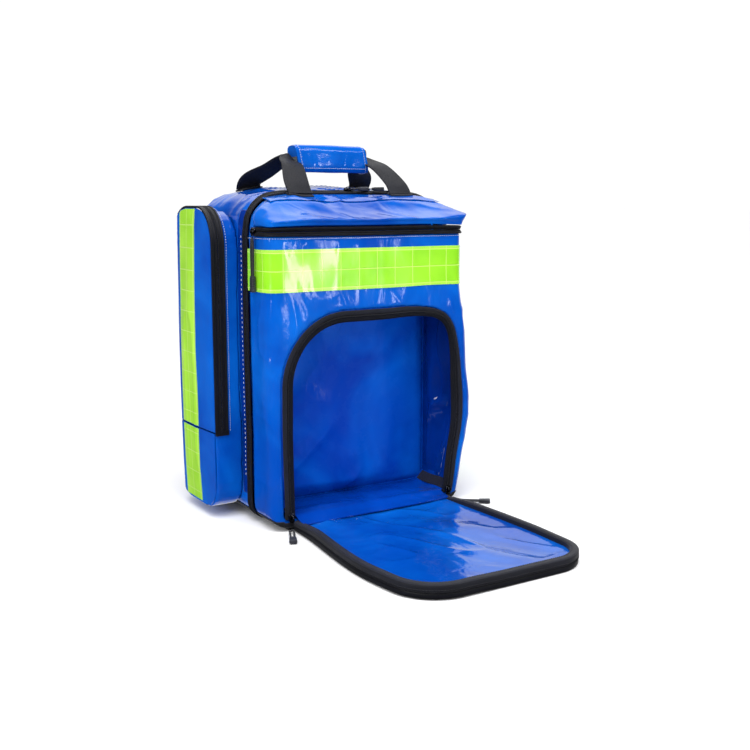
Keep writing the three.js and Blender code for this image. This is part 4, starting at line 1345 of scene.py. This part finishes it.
def pull(name, body, start, along, out, reach, end_length, replaces, width=0.0104, thick=0.0056):
    """A zip pull: a wire ring, a loop of cord, and a ribbed rubber end."""
    across = np.cross(out, along)
    ring_angles = np.linspace(0.0, 2 * math.pi, 20, endpoint=False)
    ring_x, ring_y = 0.0022 + 0.0030 * np.cos(ring_angles), 0.0024 * np.sin(ring_angles)
    ring = np.column_stack([ring_x, ring_y, np.zeros(len(ring_x))])
    ring_part = tube(ring, 0.00055, closed=True, sides=8)
    cord_end = reach - end_length + 0.002
    half = 0.0025
    left = [
        (0.0040, 0.0006, 0.0006),
        (0.0065, half, 0.0002),
        (0.5 * cord_end, half * 1.05, -0.0002),
        (cord_end, half * 0.8, 0.0),
    ]
    right = [(x, -y, -z) for x, y, z in left[::-1]]
    cord = tube(curve(left + [(cord_end + 0.001, 0.0, 0.0)] + right + [(0.0034, 0.0, 0.0)], 0.0010), 0.00145)
    ribs = 7
    xs = np.linspace(reach - end_length, reach, 4 * ribs + 1)
    scale = np.where(np.arange(len(xs)) % 4 < 2, 1.0, 0.90)
    scale[[0, -1]] = 0.72
    scale[[1, -2]] = 0.94
    taper = np.interp(xs, [xs[0], xs[-1]], [0.86, 1.0])
    base = rounded_section(width, thick, 0.0016, 3, -thick / 2)
    sections = base[None] * (scale * taper)[:, None, None]
    rubber = sweep(straight(xs), Y_AXIS, Z_AXIS, sections)
    for label, part, material, slot, nodes in (
        ("ring", ring_part, metal_dark, "slider_metal", ()),
        ("cord", cord, cord_black, "pull_cord", ()),
        ("end", rubber, rubber_grey, "pull_cord", replaces),
    ):
        whole = placed(part, start, along, across, out)
        make(f"{name}_{label}", [whole], body, material, nodes, soft=False)


COIL_X = 0.1252
for side, sign in (("left", -1.0), ("right", 1.0)):
    where = (sign * COIL_X, FRONT_Y - 0.0012, 0.0185)
    slider(f"door_slide_{side}", f"door_slider_{side}", where, Z_AXIS, -Y_AXIS, (f"door_slider_{side}",))
DOOR_PULLS = (
    ("left", (-0.1264, -0.1100, 0.0034), (-0.42, -0.9075, 0.0), 0.0500),
    ("right", (0.1315, -0.1105, 0.0034), (0.80, -0.60, 0.0), 0.0540),
)
for side, start, along, reach in DOOR_PULLS:
    node = f"door_pull_{side}"
    pull(f"door_tag_{side}", node, start, np.array(along), Z_AXIS, reach, 0.0160, (node,))
TOP_LEVEL = SHELL_TOP + 0.0012
for number, x in ((1, 0.004), (2, 0.030)):
    node = f"main_slider_{number}"
    slider(f"main_slide_{number}", node, (x, ZIP_Y, TOP_LEVEL), X_AXIS, Z_AXIS, (node,))
    node = f"main_pull_{number}"
    low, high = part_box(node)
    middle = (low.x, 0.5 * (low.y + high.y), 0.5 * (low.z + high.z) + 0.0004)
    pull(f"main_tag_{number}", node, middle, X_AXIS, Z_AXIS, high.x - low.x, 0.0130, (node,))
slider("lid_slide", "lid_slider", (-0.1512, -0.0685, LID_SEAM), -Y_AXIS, -X_AXIS, ("lid_slider",))
pull("lid_tag", "lid_pull", (-0.1555, -0.0685, 0.3822), -Z_AXIS, -X_AXIS, 0.0715, 0.0205, ("lid_pull",))
for side, sign in (("left", -1.0), ("right", 1.0)):
    node = f"{side}_pocket_slider"
    where = np.array([sign * (0.1788 - POCKET_TUCK), POCKET_REAR + 0.0010, 0.1385])
    slider(f"{side}_pocket_slide", node, where, Z_AXIS, Y_AXIS, (node,))
    start = where + (0.0, 0.0052, -0.0040)
    pull(f"{side}_pocket_tag", node, start, -Z_AXIS, Y_AXIS, 0.0480, 0.0160, (), thick=0.0044)


# ------------------------------------------------------------------ base fabric
def skin_patch(name, source, keep, lift, body, material, replaces=(), thick=0.0007):
    """A layer sewn over another piece: the outer faces that keep chooses, raised by lift."""
    mesh = bpy.data.objects[source].data
    points = points_of(mesh)
    normals = np.empty(len(mesh.vertices) * 3)
    mesh.vertices.foreach_get("normal", normals)
    normals = normals.reshape(-1, 3)
    chosen = keep(points, normals)
    work = bmesh.new()
    work.from_mesh(mesh)
    work.verts.ensure_lookup_table()
    bmesh.ops.delete(work, geom=[v for v, kept in zip(work.verts, chosen) if not kept], context="VERTS")
    for vert in work.verts:
        vert.co += vert.normal * lift
    rim = [v for v in work.verts if v.is_boundary]
    for _ in range(4):
        bmesh.ops.smooth_vert(work, verts=rim, factor=0.5, use_axis_x=True, use_axis_y=True, use_axis_z=True)
    patch = bpy.data.meshes.new(name)
    work.to_mesh(patch)
    work.free()
    patch.shade_smooth()
    obj = own(bpy.data.objects.new(name, patch), body, material, replaces)
    layer = obj.modifiers.new("thickness", "SOLIDIFY")
    layer.thickness = thick
    layer.offset = -1.0
    return obj


def base_faces(points, normals):
    outward = np.einsum("ij,ij->i", normals, away(points))
    return (points[:, 2] < 0.0165) & (outward > -0.2) & ((normals[:, 2] < 0.35) | (points[:, 2] < 0.006))


skin_patch("base_front", "front_skin", base_faces, 0.0009, "front_half", base_black)
skin_patch("base_rear", "rear_skin", base_faces, 0.0009, "rear_half", base_black)
for node, body in (("base_panel_front", "front_half"), ("base_panel_rear", "rear_half")):
    low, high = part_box(node)
    xs = np.linspace(low.x, high.x, 30)
    sheet = sweep(
        np.column_stack([xs, np.full(30, 0.5 * (low.y + high.y)), np.full(30, low.z)]),
        Y_AXIS,
        Z_AXIS,
        rounded_section(high.y - low.y, high.z - low.z, 0.0015, 3),
    )
    make(f"{node}_board", [sheet], body, base_black, (node,), soft=False)


def painted_shade_faces(points, normals):
    """The narrow strip of the left side between the main zip and the pocket, covered in darker cloth as
    painted shade.
    """
    left = (points[:, 0] < -0.140) & (normals[:, 0] < -0.5)
    return left & (np.abs(points[:, 1] + 0.0225) < 0.0085) & (np.abs(points[:, 2] - 0.225) < 0.190)


# A darker patch over that strip: painted shade.
skin_patch("side_seam_strip", "rear_skin", painted_shade_faces, 0.0009, "rear_half", painted_shade_blue)
seam_path = np.column_stack([np.full(90, -HALF_WIDTH), np.full(90, -0.0262), np.linspace(0.060, 0.385, 90)])
seam = stitches(seam_path, Y_AXIS, -X_AXIS, 0.0062, 0.0030, lift=0.0011)
make("side_seam_stitches", [seam], "rear_half", thread_white)


# ------------------------------------------------------------------ the side where the halves hang together
spine_path = np.column_stack([np.full(60, HALF_WIDTH), np.full(60, ZIP_Y), np.linspace(0.038, 0.300, 60)])
spine_section = np.array(
    [(-0.0205, 0.0006), (-0.0160, 0.0010), (-0.0080, 0.0034), (0.0, 0.0040), (0.0080, 0.0034)]
    + [(0.0160, 0.0010), (0.0205, 0.0006), (0.0205, 0.0016), (0.0160, 0.0022), (0.0080, 0.0046)]
    + [(0.0, 0.0052), (-0.0080, 0.0046), (-0.0160, 0.0022), (-0.0205, 0.0016)]
)
spine = sweep(spine_path, Y_AXIS, X_AXIS, spine_section)
bending = ("rear_half", "front_half", (0.152, -0.0310, 0.2), (0.152, -0.0450, 0.2))
make("spine_gusset", [spine], bending, base_black, ("spine_front", "spine_rear"))


# ------------------------------------------------------------------ harness
def box_corners(low, high, inset=0.0):
    """A box's four corners seen from the front, in from its sides by inset."""
    x0, z0, x1, z1 = low.x + inset, low.z + inset, high.x - inset, high.z - inset
    return ((x0, z0), (x1, z0), (x1, z1), (x0, z1))


def filled(obj, reach, pressure=4.0, frames=20):
    """Fills a closed mesh like a pad by cloth simulation, and keeps each point within reach of its start."""
    start = points_of(obj.data)
    cloth = obj.modifiers.new("fill", "CLOTH")
    cloth.settings.use_pressure = True
    cloth.settings.uniform_pressure_force = pressure
    cloth.settings.effector_weights.gravity = 0.0
    cloth.settings.mass = 0.3
    cloth.settings.quality = 4
    cloth.point_cache.frame_end = frames
    scene = bpy.context.scene
    for number in range(1, frames + 1):
        scene.frame_set(number)
    graph = bpy.context.evaluated_depsgraph_get()
    end = points_of(obj.evaluated_get(graph).data)
    obj.modifiers.remove(cloth)
    scene.frame_set(1)
    move = end - start
    length = np.linalg.norm(move, axis=1)[:, None]
    return start + move * np.minimum(1.0, reach / np.maximum(length, 1e-9))


def cushion(name, node, material, reach=0.006, channels=None):
    """A foam pad: simulated filling, then sewn channels. It stays flat against the bag's back."""
    mesh = remeshed(node, 0.0045, 2)
    obj = bpy.data.objects.new(name, mesh)
    low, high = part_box(node)
    bpy.context.scene.collection.objects.link(obj)
    points = points_of(mesh)
    middle = np.array((low + high) / 2)
    shrunk = middle + (points - middle) * (0.985, 0.90, 0.985)
    mesh.vertices.foreach_set("co", shrunk.ravel())
    mesh.update()
    points = filled(obj, reach)
    if channels is not None:
        points = channels(points, low, high)
    points[:, 1] = np.maximum(points[:, 1], low.y + 0.0002)
    mesh.vertices.foreach_set("co", points.ravel())
    mesh.update()
    mesh.shade_smooth()
    own(obj, "rear_half", material, (node,))
    finer = obj.modifiers.new("finer", "SUBSURF")
    finer.levels = finer.render_levels = 1
    return obj


def quilted(pitch):
    """Sewn channels across a pad, fading out near its edges."""

    def shape(points, low, high):
        p = points.copy()
        side = np.minimum(p[:, 0] - low.x, high.x - p[:, 0])
        end = np.minimum(p[:, 2] - low.z, high.z - p[:, 2])
        inside = ramp(np.minimum(side, end), 0.008, 0.022)
        turn = np.abs((p[:, 2] - low.z) / pitch - np.round((p[:, 2] - low.z) / pitch)) * pitch
        groove = np.exp(-((turn / 0.0035) ** 2))
        p[:, 1] -= groove * inside * 0.0048 * ramp(p[:, 1], low.y + 0.003, low.y + 0.009)
        return p

    return shape


PAD_BACK = REAR_Y + 0.0003
for node in ("back_pad_left", "back_pad_right", "lumbar_pad"):
    low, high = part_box(node)
    cushion(f"{node}_cushion", node, foam_mesh, channels=quilted(0.0428 if "back" in node else 0.0370))
    flat, normals = outline(box_corners(low, high), 0.020, 0.0035, closed=True)
    edge = on_plane(flat, "xz", PAD_BACK + 0.0032)
    edge_out = on_plane(normals, "xz")
    bead = sweep(edge, Y_AXIS, edge_out, rounded_section(0.0064, 0.0026, 0.0012, 3, -0.0012), True)
    make(f"{node}_binding", [bead], "rear_half", webbing_black, soft=False)
    seam_path = np.vstack([edge, edge[:1]]) + Y_AXIS * 0.0016
    seam = stitches(seam_path, Y_AXIS, np.vstack([edge_out, edge_out[:1]]), lift=0.0014)
    make(f"{node}_stitches", [seam], "rear_half", thread_black, soft=False)

low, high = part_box("harness_yoke")
yoke_x = np.linspace(low.x, high.x, 40)
yoke_path = np.column_stack([yoke_x, np.full(40, PAD_BACK), np.full(40, 0.5 * (low.z + high.z))])
ends = 1.0 - 0.18 * ramp(np.abs(yoke_x), 0.086, 0.096)
yoke_section = rounded_section(high.z - low.z, 0.0032, 0.0013, 3)
yoke_sections = np.broadcast_to(yoke_section, (40, *yoke_section.shape)).copy()
yoke_sections[:, :, 0] *= ends[:, None]
yoke = sweep(yoke_path, Z_AXIS, Y_AXIS, yoke_sections)
make("yoke_panel", [yoke], "rear_half", base_black, ("harness_yoke",), soft=False)
rows = []
for dz in (-0.0155, -0.012, 0.012, 0.0155):
    rows.append(stitches(yoke_path[2:-2] + Z_AXIS * dz, Z_AXIS, Y_AXIS, lift=0.0034))
make("yoke_stitches", rows, "rear_half", thread_black, soft=False)


SHOULDER_LINE = ((0.134, 0.384), (0.151, 0.368), (0.169, 0.320), (0.171, 0.250), (0.159, 0.180))


def harness_side(side, sign):
    """One shoulder strap with its sewn webbing, buckle, lower webbing and chest strap."""
    middle = sign * 0.062
    node = f"shoulder_strap_{side}"
    cushion(f"{node}_pad", node, foam_mesh, reach=0.004)
    line = curve([(middle, y, z) for y, z in SHOULDER_LINE], 0.0035)
    along = directions(line)
    face = np.cross(X_AXIS, along)
    face *= np.sign(face[len(face) // 2, 1])
    beads = []
    for edge in (-0.0285, 0.0285):
        bead_section = rounded_section(0.0096, 0.0022, 0.0010, 3, -0.0010)
        beads.append(sweep(line + X_AXIS * edge, face, X_AXIS * np.sign(edge), bead_section))
    make(f"{node}_binding", beads, "rear_half", webbing_black, soft=False)
    sewn = line[6:-2] + face[6:-2] * 0.0058
    strip = sweep(sewn, X_AXIS, face[6:-2], rounded_section(0.025, 0.0018, 0.0008, 2))
    make(f"{node}_webbing", [strip], "rear_half", webbing_black, soft=False)
    rows = [stitches(sewn + X_AXIS * dx, X_AXIS, face[6:-2], lift=0.0019) for dx in (-0.0105, 0.0105)]
    for k in range(6, len(sewn) - 4, 14):
        bar = np.array([sewn[k] + X_AXIS * t for t in np.linspace(-0.0105, 0.0105, 8)])
        rows.append(stitches(bar, Z_AXIS, face[6 + k], 0.0024, 0.0018, lift=0.0019))
    make(f"{node}_webbing_stitches", rows, "rear_half", thread_black, soft=False)

    lock = f"ladder_lock_{side}"
    low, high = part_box(lock)
    centre_y = 0.5 * (low.y + high.y)
    flat, normals = outline(box_corners(low, high, 0.002), 0.004, 0.0015, closed=True)
    ring_section = rounded_section(0.0052, 0.0040, 0.0012, 3, -0.0020)
    ring = sweep(on_plane(flat, "xz", centre_y), Y_AXIS, on_plane(normals, "xz"), ring_section, True)
    parts = [ring]
    for z, dy, high_bar in ((0.1545, 0.0012, 0.0036), (0.1612, -0.0010, 0.0044), (0.1680, 0.0012, 0.0036)):
        bar = np.array([(x, centre_y + dy, z) for x in np.linspace(low.x + 0.001, high.x - 0.001, 6)])
        parts.append(sweep(bar, Z_AXIS, Y_AXIS, rounded_section(high_bar, 0.0036, 0.0012, 3, -0.0018)))
    make(f"{lock}_frame", parts, "rear_half", plastic_black, (lock,), soft=False)

    end_x = sign * 0.122
    tail = [
        (middle, centre_y + 0.0030, 0.1640),
        (middle, centre_y - 0.0006, 0.1530),
        (middle + (end_x - middle) * 0.02, 0.1500, 0.1440),
        (middle + (end_x - middle) * 0.40, 0.1430, 0.0960),
        (middle + (end_x - middle) * 0.86, 0.1292, 0.0320),
        (end_x, 0.1268, 0.0170),
    ]
    path = curve(tail, 0.0030)
    direction = directions(path)
    face = np.cross(X_AXIS, direction)
    face = face / np.linalg.norm(face, axis=1)[:, None]
    face *= np.sign(face[len(face) // 2, 1])
    flat_across = np.cross(direction, face)
    strap = sweep(path, flat_across, face, rounded_section(0.0235, 0.0018, 0.0008, 2, -0.0009))
    node = f"strap_webbing_{side}"
    make(f"strap_tail_{side}", [strap], "rear_half", webbing_black, (node,), soft=False)
    # The sewn tab that holds the webbing at the bag's corner.
    tab_path = np.array([(end_x + sign * 0.001, PAD_BACK, z) for z in np.linspace(0.012, 0.038, 8)])
    tab = sweep(tab_path, X_AXIS, Y_AXIS, rounded_section(0.030, 0.0030, 0.0012, 2))
    make(f"strap_tab_{side}", [tab], "rear_half", base_black, soft=False)

    chest = f"sternum_strap_{side}"
    low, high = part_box(chest)
    inner, outer = (low.x, high.x) if sign > 0 else (high.x, low.x)
    xs = np.linspace(inner - sign * 0.004, outer, 10)
    path = np.array([(x, 0.5 * (low.y + high.y), 0.300) for x in xs])
    belt = sweep(path, Z_AXIS, Y_AXIS, rounded_section(0.0195, 0.0018, 0.0008, 2, -0.0009))
    make(f"chest_strap_{side}", [belt], "rear_half", webbing_black, (chest,), soft=False)


for side, sign in (("left", -1.0), ("right", 1.0)):
    harness_side(side, sign)


def chest_buckle():
    """A side-release buckle: a hollow half, two prongs in it and the bars for the webbing."""
    low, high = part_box("sternum_buckle")
    y = 0.5 * (low.y + high.y)
    xs = np.linspace(-0.0085, 0.0085, 12)
    widths = [0.022 + 0.0025 * math.cos(x * 180) for x in xs]
    shell_sections = np.stack([rounded_section(width, 0.0068, 0.0024, 4, -0.0034) for width in widths])
    parts = [sweep(np.column_stack([xs, np.full(12, y), np.full(12, 0.300)]), Z_AXIS, Y_AXIS, shell_sections)]
    for x0, x1 in ((-0.0140, -0.0088), (0.0088, 0.0140)):
        for z in (0.2902, 0.3098):
            rail = np.array([(x, y, z) for x in np.linspace(x0, x1, 4)])
            parts.append(sweep(rail, Z_AXIS, Y_AXIS, rounded_section(0.0038, 0.0050, 0.0012, 3, -0.0025)))
        for x in (x0 + 0.0008, x1 - 0.0008):
            bar = np.array([(x, y, z) for z in np.linspace(0.2895, 0.3105, 6)])
            parts.append(sweep(bar, X_AXIS, Y_AXIS, rounded_section(0.0022, 0.0034, 0.0010, 3, -0.0017)))
    for z in (0.2925, 0.3075):
        off = z - 0.300
        prong = curve([(0.0086, y, z), (0.0030, y, z + off * 0.35), (-0.0040, y, z + off * 0.25)], 0.001)
        parts.append(sweep(prong, Z_AXIS, Y_AXIS, rounded_section(0.0034, 0.0074, 0.0012, 3, -0.0037)))
    make("chest_buckle", parts, "rear_half", plastic_black, ("sternum_buckle",), soft=False)


chest_buckle()


# ------------------------------------------------------------------ inside the rear half
def organiser():
    """The inner panel and its elastic bands, which rise in four loops each."""
    mesh = remeshed("organiser_panel", 0.003, 3)
    points = points_of(mesh)
    points[:, 1] += (noise(points, (0.05, 1.0, 0.06), 101) - 0.5) * 0.0012
    mesh.vertices.foreach_set("co", points.ravel())
    mesh.update()
    mesh.shade_smooth()
    face = bpy.data.objects.new("organiser_face", mesh)
    own(face, "rear_half", lining_navy, ("organiser_panel",))
    low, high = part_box("organiser_panel")
    flat, _ = outline(box_corners(low, high), 0.022, 0.004, closed=True)
    edge = on_plane(flat, "xz", low.y)
    inward = np.array([0.0, 0.0, 0.5 * (low.z + high.z)]) - edge * (1.0, 0.0, 1.0)
    inward = inward / np.linalg.norm(inward, axis=1)[:, None]
    section = rounded_section(0.011, 0.0012, 0.0005, 2, -0.0002)
    binding = sweep(edge + inward * 0.004, inward, -Y_AXIS, section, True)
    make("organiser_binding", [binding], "rear_half", tape_black, soft=False)
    loops = (-0.084, -0.028, 0.028, 0.084)
    for number in (1, 2):
        node = f"elastic_row_{number}"
        low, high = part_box(node)
        xs = np.linspace(low.x, high.x, 150)
        rise = sum(bell(np.abs(xs - x), -0.030, 0.0, 0.0205) for x in loops) ** 0.55
        ys = high.y - 0.0009 - rise * (high.y - low.y - 0.0018)
        path = np.column_stack([xs, ys, np.full(150, 0.5 * (low.z + high.z))])
        along = directions(path)
        out = np.cross(along, Z_AXIS)
        band = sweep(path, Z_AXIS, out, rounded_section(high.z - low.z, 0.0014, 0.0006, 2, -0.0007))
        make(f"{node}_band", [band], "rear_half", elastic_black, (node,), soft=False)
        rows = []
        for x in (-0.110, -0.056, 0.0, 0.056, 0.110):
            line = np.array([(x, high.y - 0.0019, z) for z in np.linspace(low.z + 0.003, high.z - 0.003, 10)])
            rows.append(stitches(line, X_AXIS, -Y_AXIS, lift=0.0001))
        make(f"{node}_stitches", rows, "rear_half", thread_white, soft=False)


organiser()
sheet = frame["nodes"]["frame_sheet"]
sheet.data.materials.clear()
sheet.data.materials.append(plastic_black)


# ------------------------------------------------------------------ stage
def softbox(name, location, target, size, energy):
    data = bpy.data.lights.new(name, "AREA")
    data.shape = "RECTANGLE"
    data.size, data.size_y = size
    data.energy = energy
    light = bpy.data.objects.new(name, data)
    light.location = location
    light.rotation_euler = (Vector(target) - Vector(location)).to_track_quat("-Z", "Y").to_euler()
    bpy.context.scene.collection.objects.link(light)
    return light


softbox("top_light", (-0.3, -0.7, 2.3), (0.0, -0.1, 0.2), (1.3, 1.0), 18.0)
softbox("left_light", (-2.1, -0.9, 0.9), (0.0, 0.0, 0.22), (0.35, 1.2), 14.0)
softbox("strip_light", (0.83, -1.84, 0.24), (-0.1, -0.105, 0.30), (0.10, 0.36), 1.6)
softbox("bar_light", (0.95, -1.75, 1.05), (0.0, -0.105, 0.37), (0.75, 0.16), 4.5)

sun_data = bpy.data.lights.new("sky_light", "SUN")
sun_data.energy = 1.75
sun_data.angle = math.radians(50.0)
sun = bpy.data.objects.new("sky_light", sun_data)
sun.rotation_euler = Vector((0.25, 0.45, -1.0)).to_track_quat("-Z", "Y").to_euler()
bpy.context.scene.collection.objects.link(sun)


def studio_world():
    """White to the camera; for gloss, dark in front of the bag and bright behind it; even for the rest."""
    world = bpy.data.worlds.new("studio")
    bpy.context.scene.world = world
    world.use_nodes = True
    nodes, links = world.node_tree.nodes, world.node_tree.links
    background = nodes["Background"]
    background.inputs["Color"].default_value = (1.0, 1.0, 1.0, 1.0)
    light_path = nodes.new("ShaderNodeLightPath")
    split = nodes.new("ShaderNodeSeparateXYZ")
    links.new(nodes.new("ShaderNodeTexCoord").outputs["Generated"], split.inputs[0])

    def mixed(factor, a, b):
        made = nodes.new("ShaderNodeMix")
        for socket, value in ((0, factor), (2, a), (3, b)):
            if isinstance(value, bpy.types.NodeSocket):
                links.new(value, made.inputs[socket])
            else:
                made.inputs[socket].default_value = value
        return made.outputs[0]

    def spread(value, low, high, to_low, to_high):
        made = nodes.new("ShaderNodeMapRange")
        made.interpolation_type = "SMOOTHSTEP"
        links.new(value, made.inputs[0])
        for k, number in enumerate((low, high, to_low, to_high)):
            made.inputs[k + 1].default_value = number
        return made.outputs[0]

    behind = spread(split.outputs[1], -0.15, 0.35, 0.03, 1.0)
    to_right = spread(split.outputs[0], -0.25, 0.15, 0.06, 1.0)
    height = spread(split.outputs[2], 0.35, 0.70, 0.9, 2.0)
    for part in (to_right, height):
        joined = nodes.new("ShaderNodeMath")
        joined.operation = "MULTIPLY"
        links.new(behind, joined.inputs[0])
        links.new(part, joined.inputs[1])
        behind = joined.outputs[0]
    glossy = mixed(light_path.outputs["Is Glossy Ray"], 0.62, behind)
    links.new(mixed(light_path.outputs["Is Camera Ray"], glossy, 1.05), background.inputs["Strength"])


studio_world()
bpy.context.scene.view_settings.view_transform = "Standard"

floor_mesh = bpy.data.meshes.new("floor")
floor_mesh.from_pydata([(-60, -60, 0), (60, -60, 0), (60, 60, 0), (-60, 60, 0)], [], [(0, 1, 2, 3)])
floor = bpy.data.objects.new("floor", floor_mesh)
floor.location = (0.0, 0.0, -0.0004)
paper = Material("paper", Roughness=0.9, Specular_IOR_Level=0.1)
paper.colour(paper.mix(paper.noise(3.0), (0.92, 0.92, 0.93, 1.0), (0.95, 0.95, 0.96, 1.0)))
floor_mesh.materials.append(paper.material)
floor.visible_glossy = False
bpy.context.scene.collection.objects.link(floor)
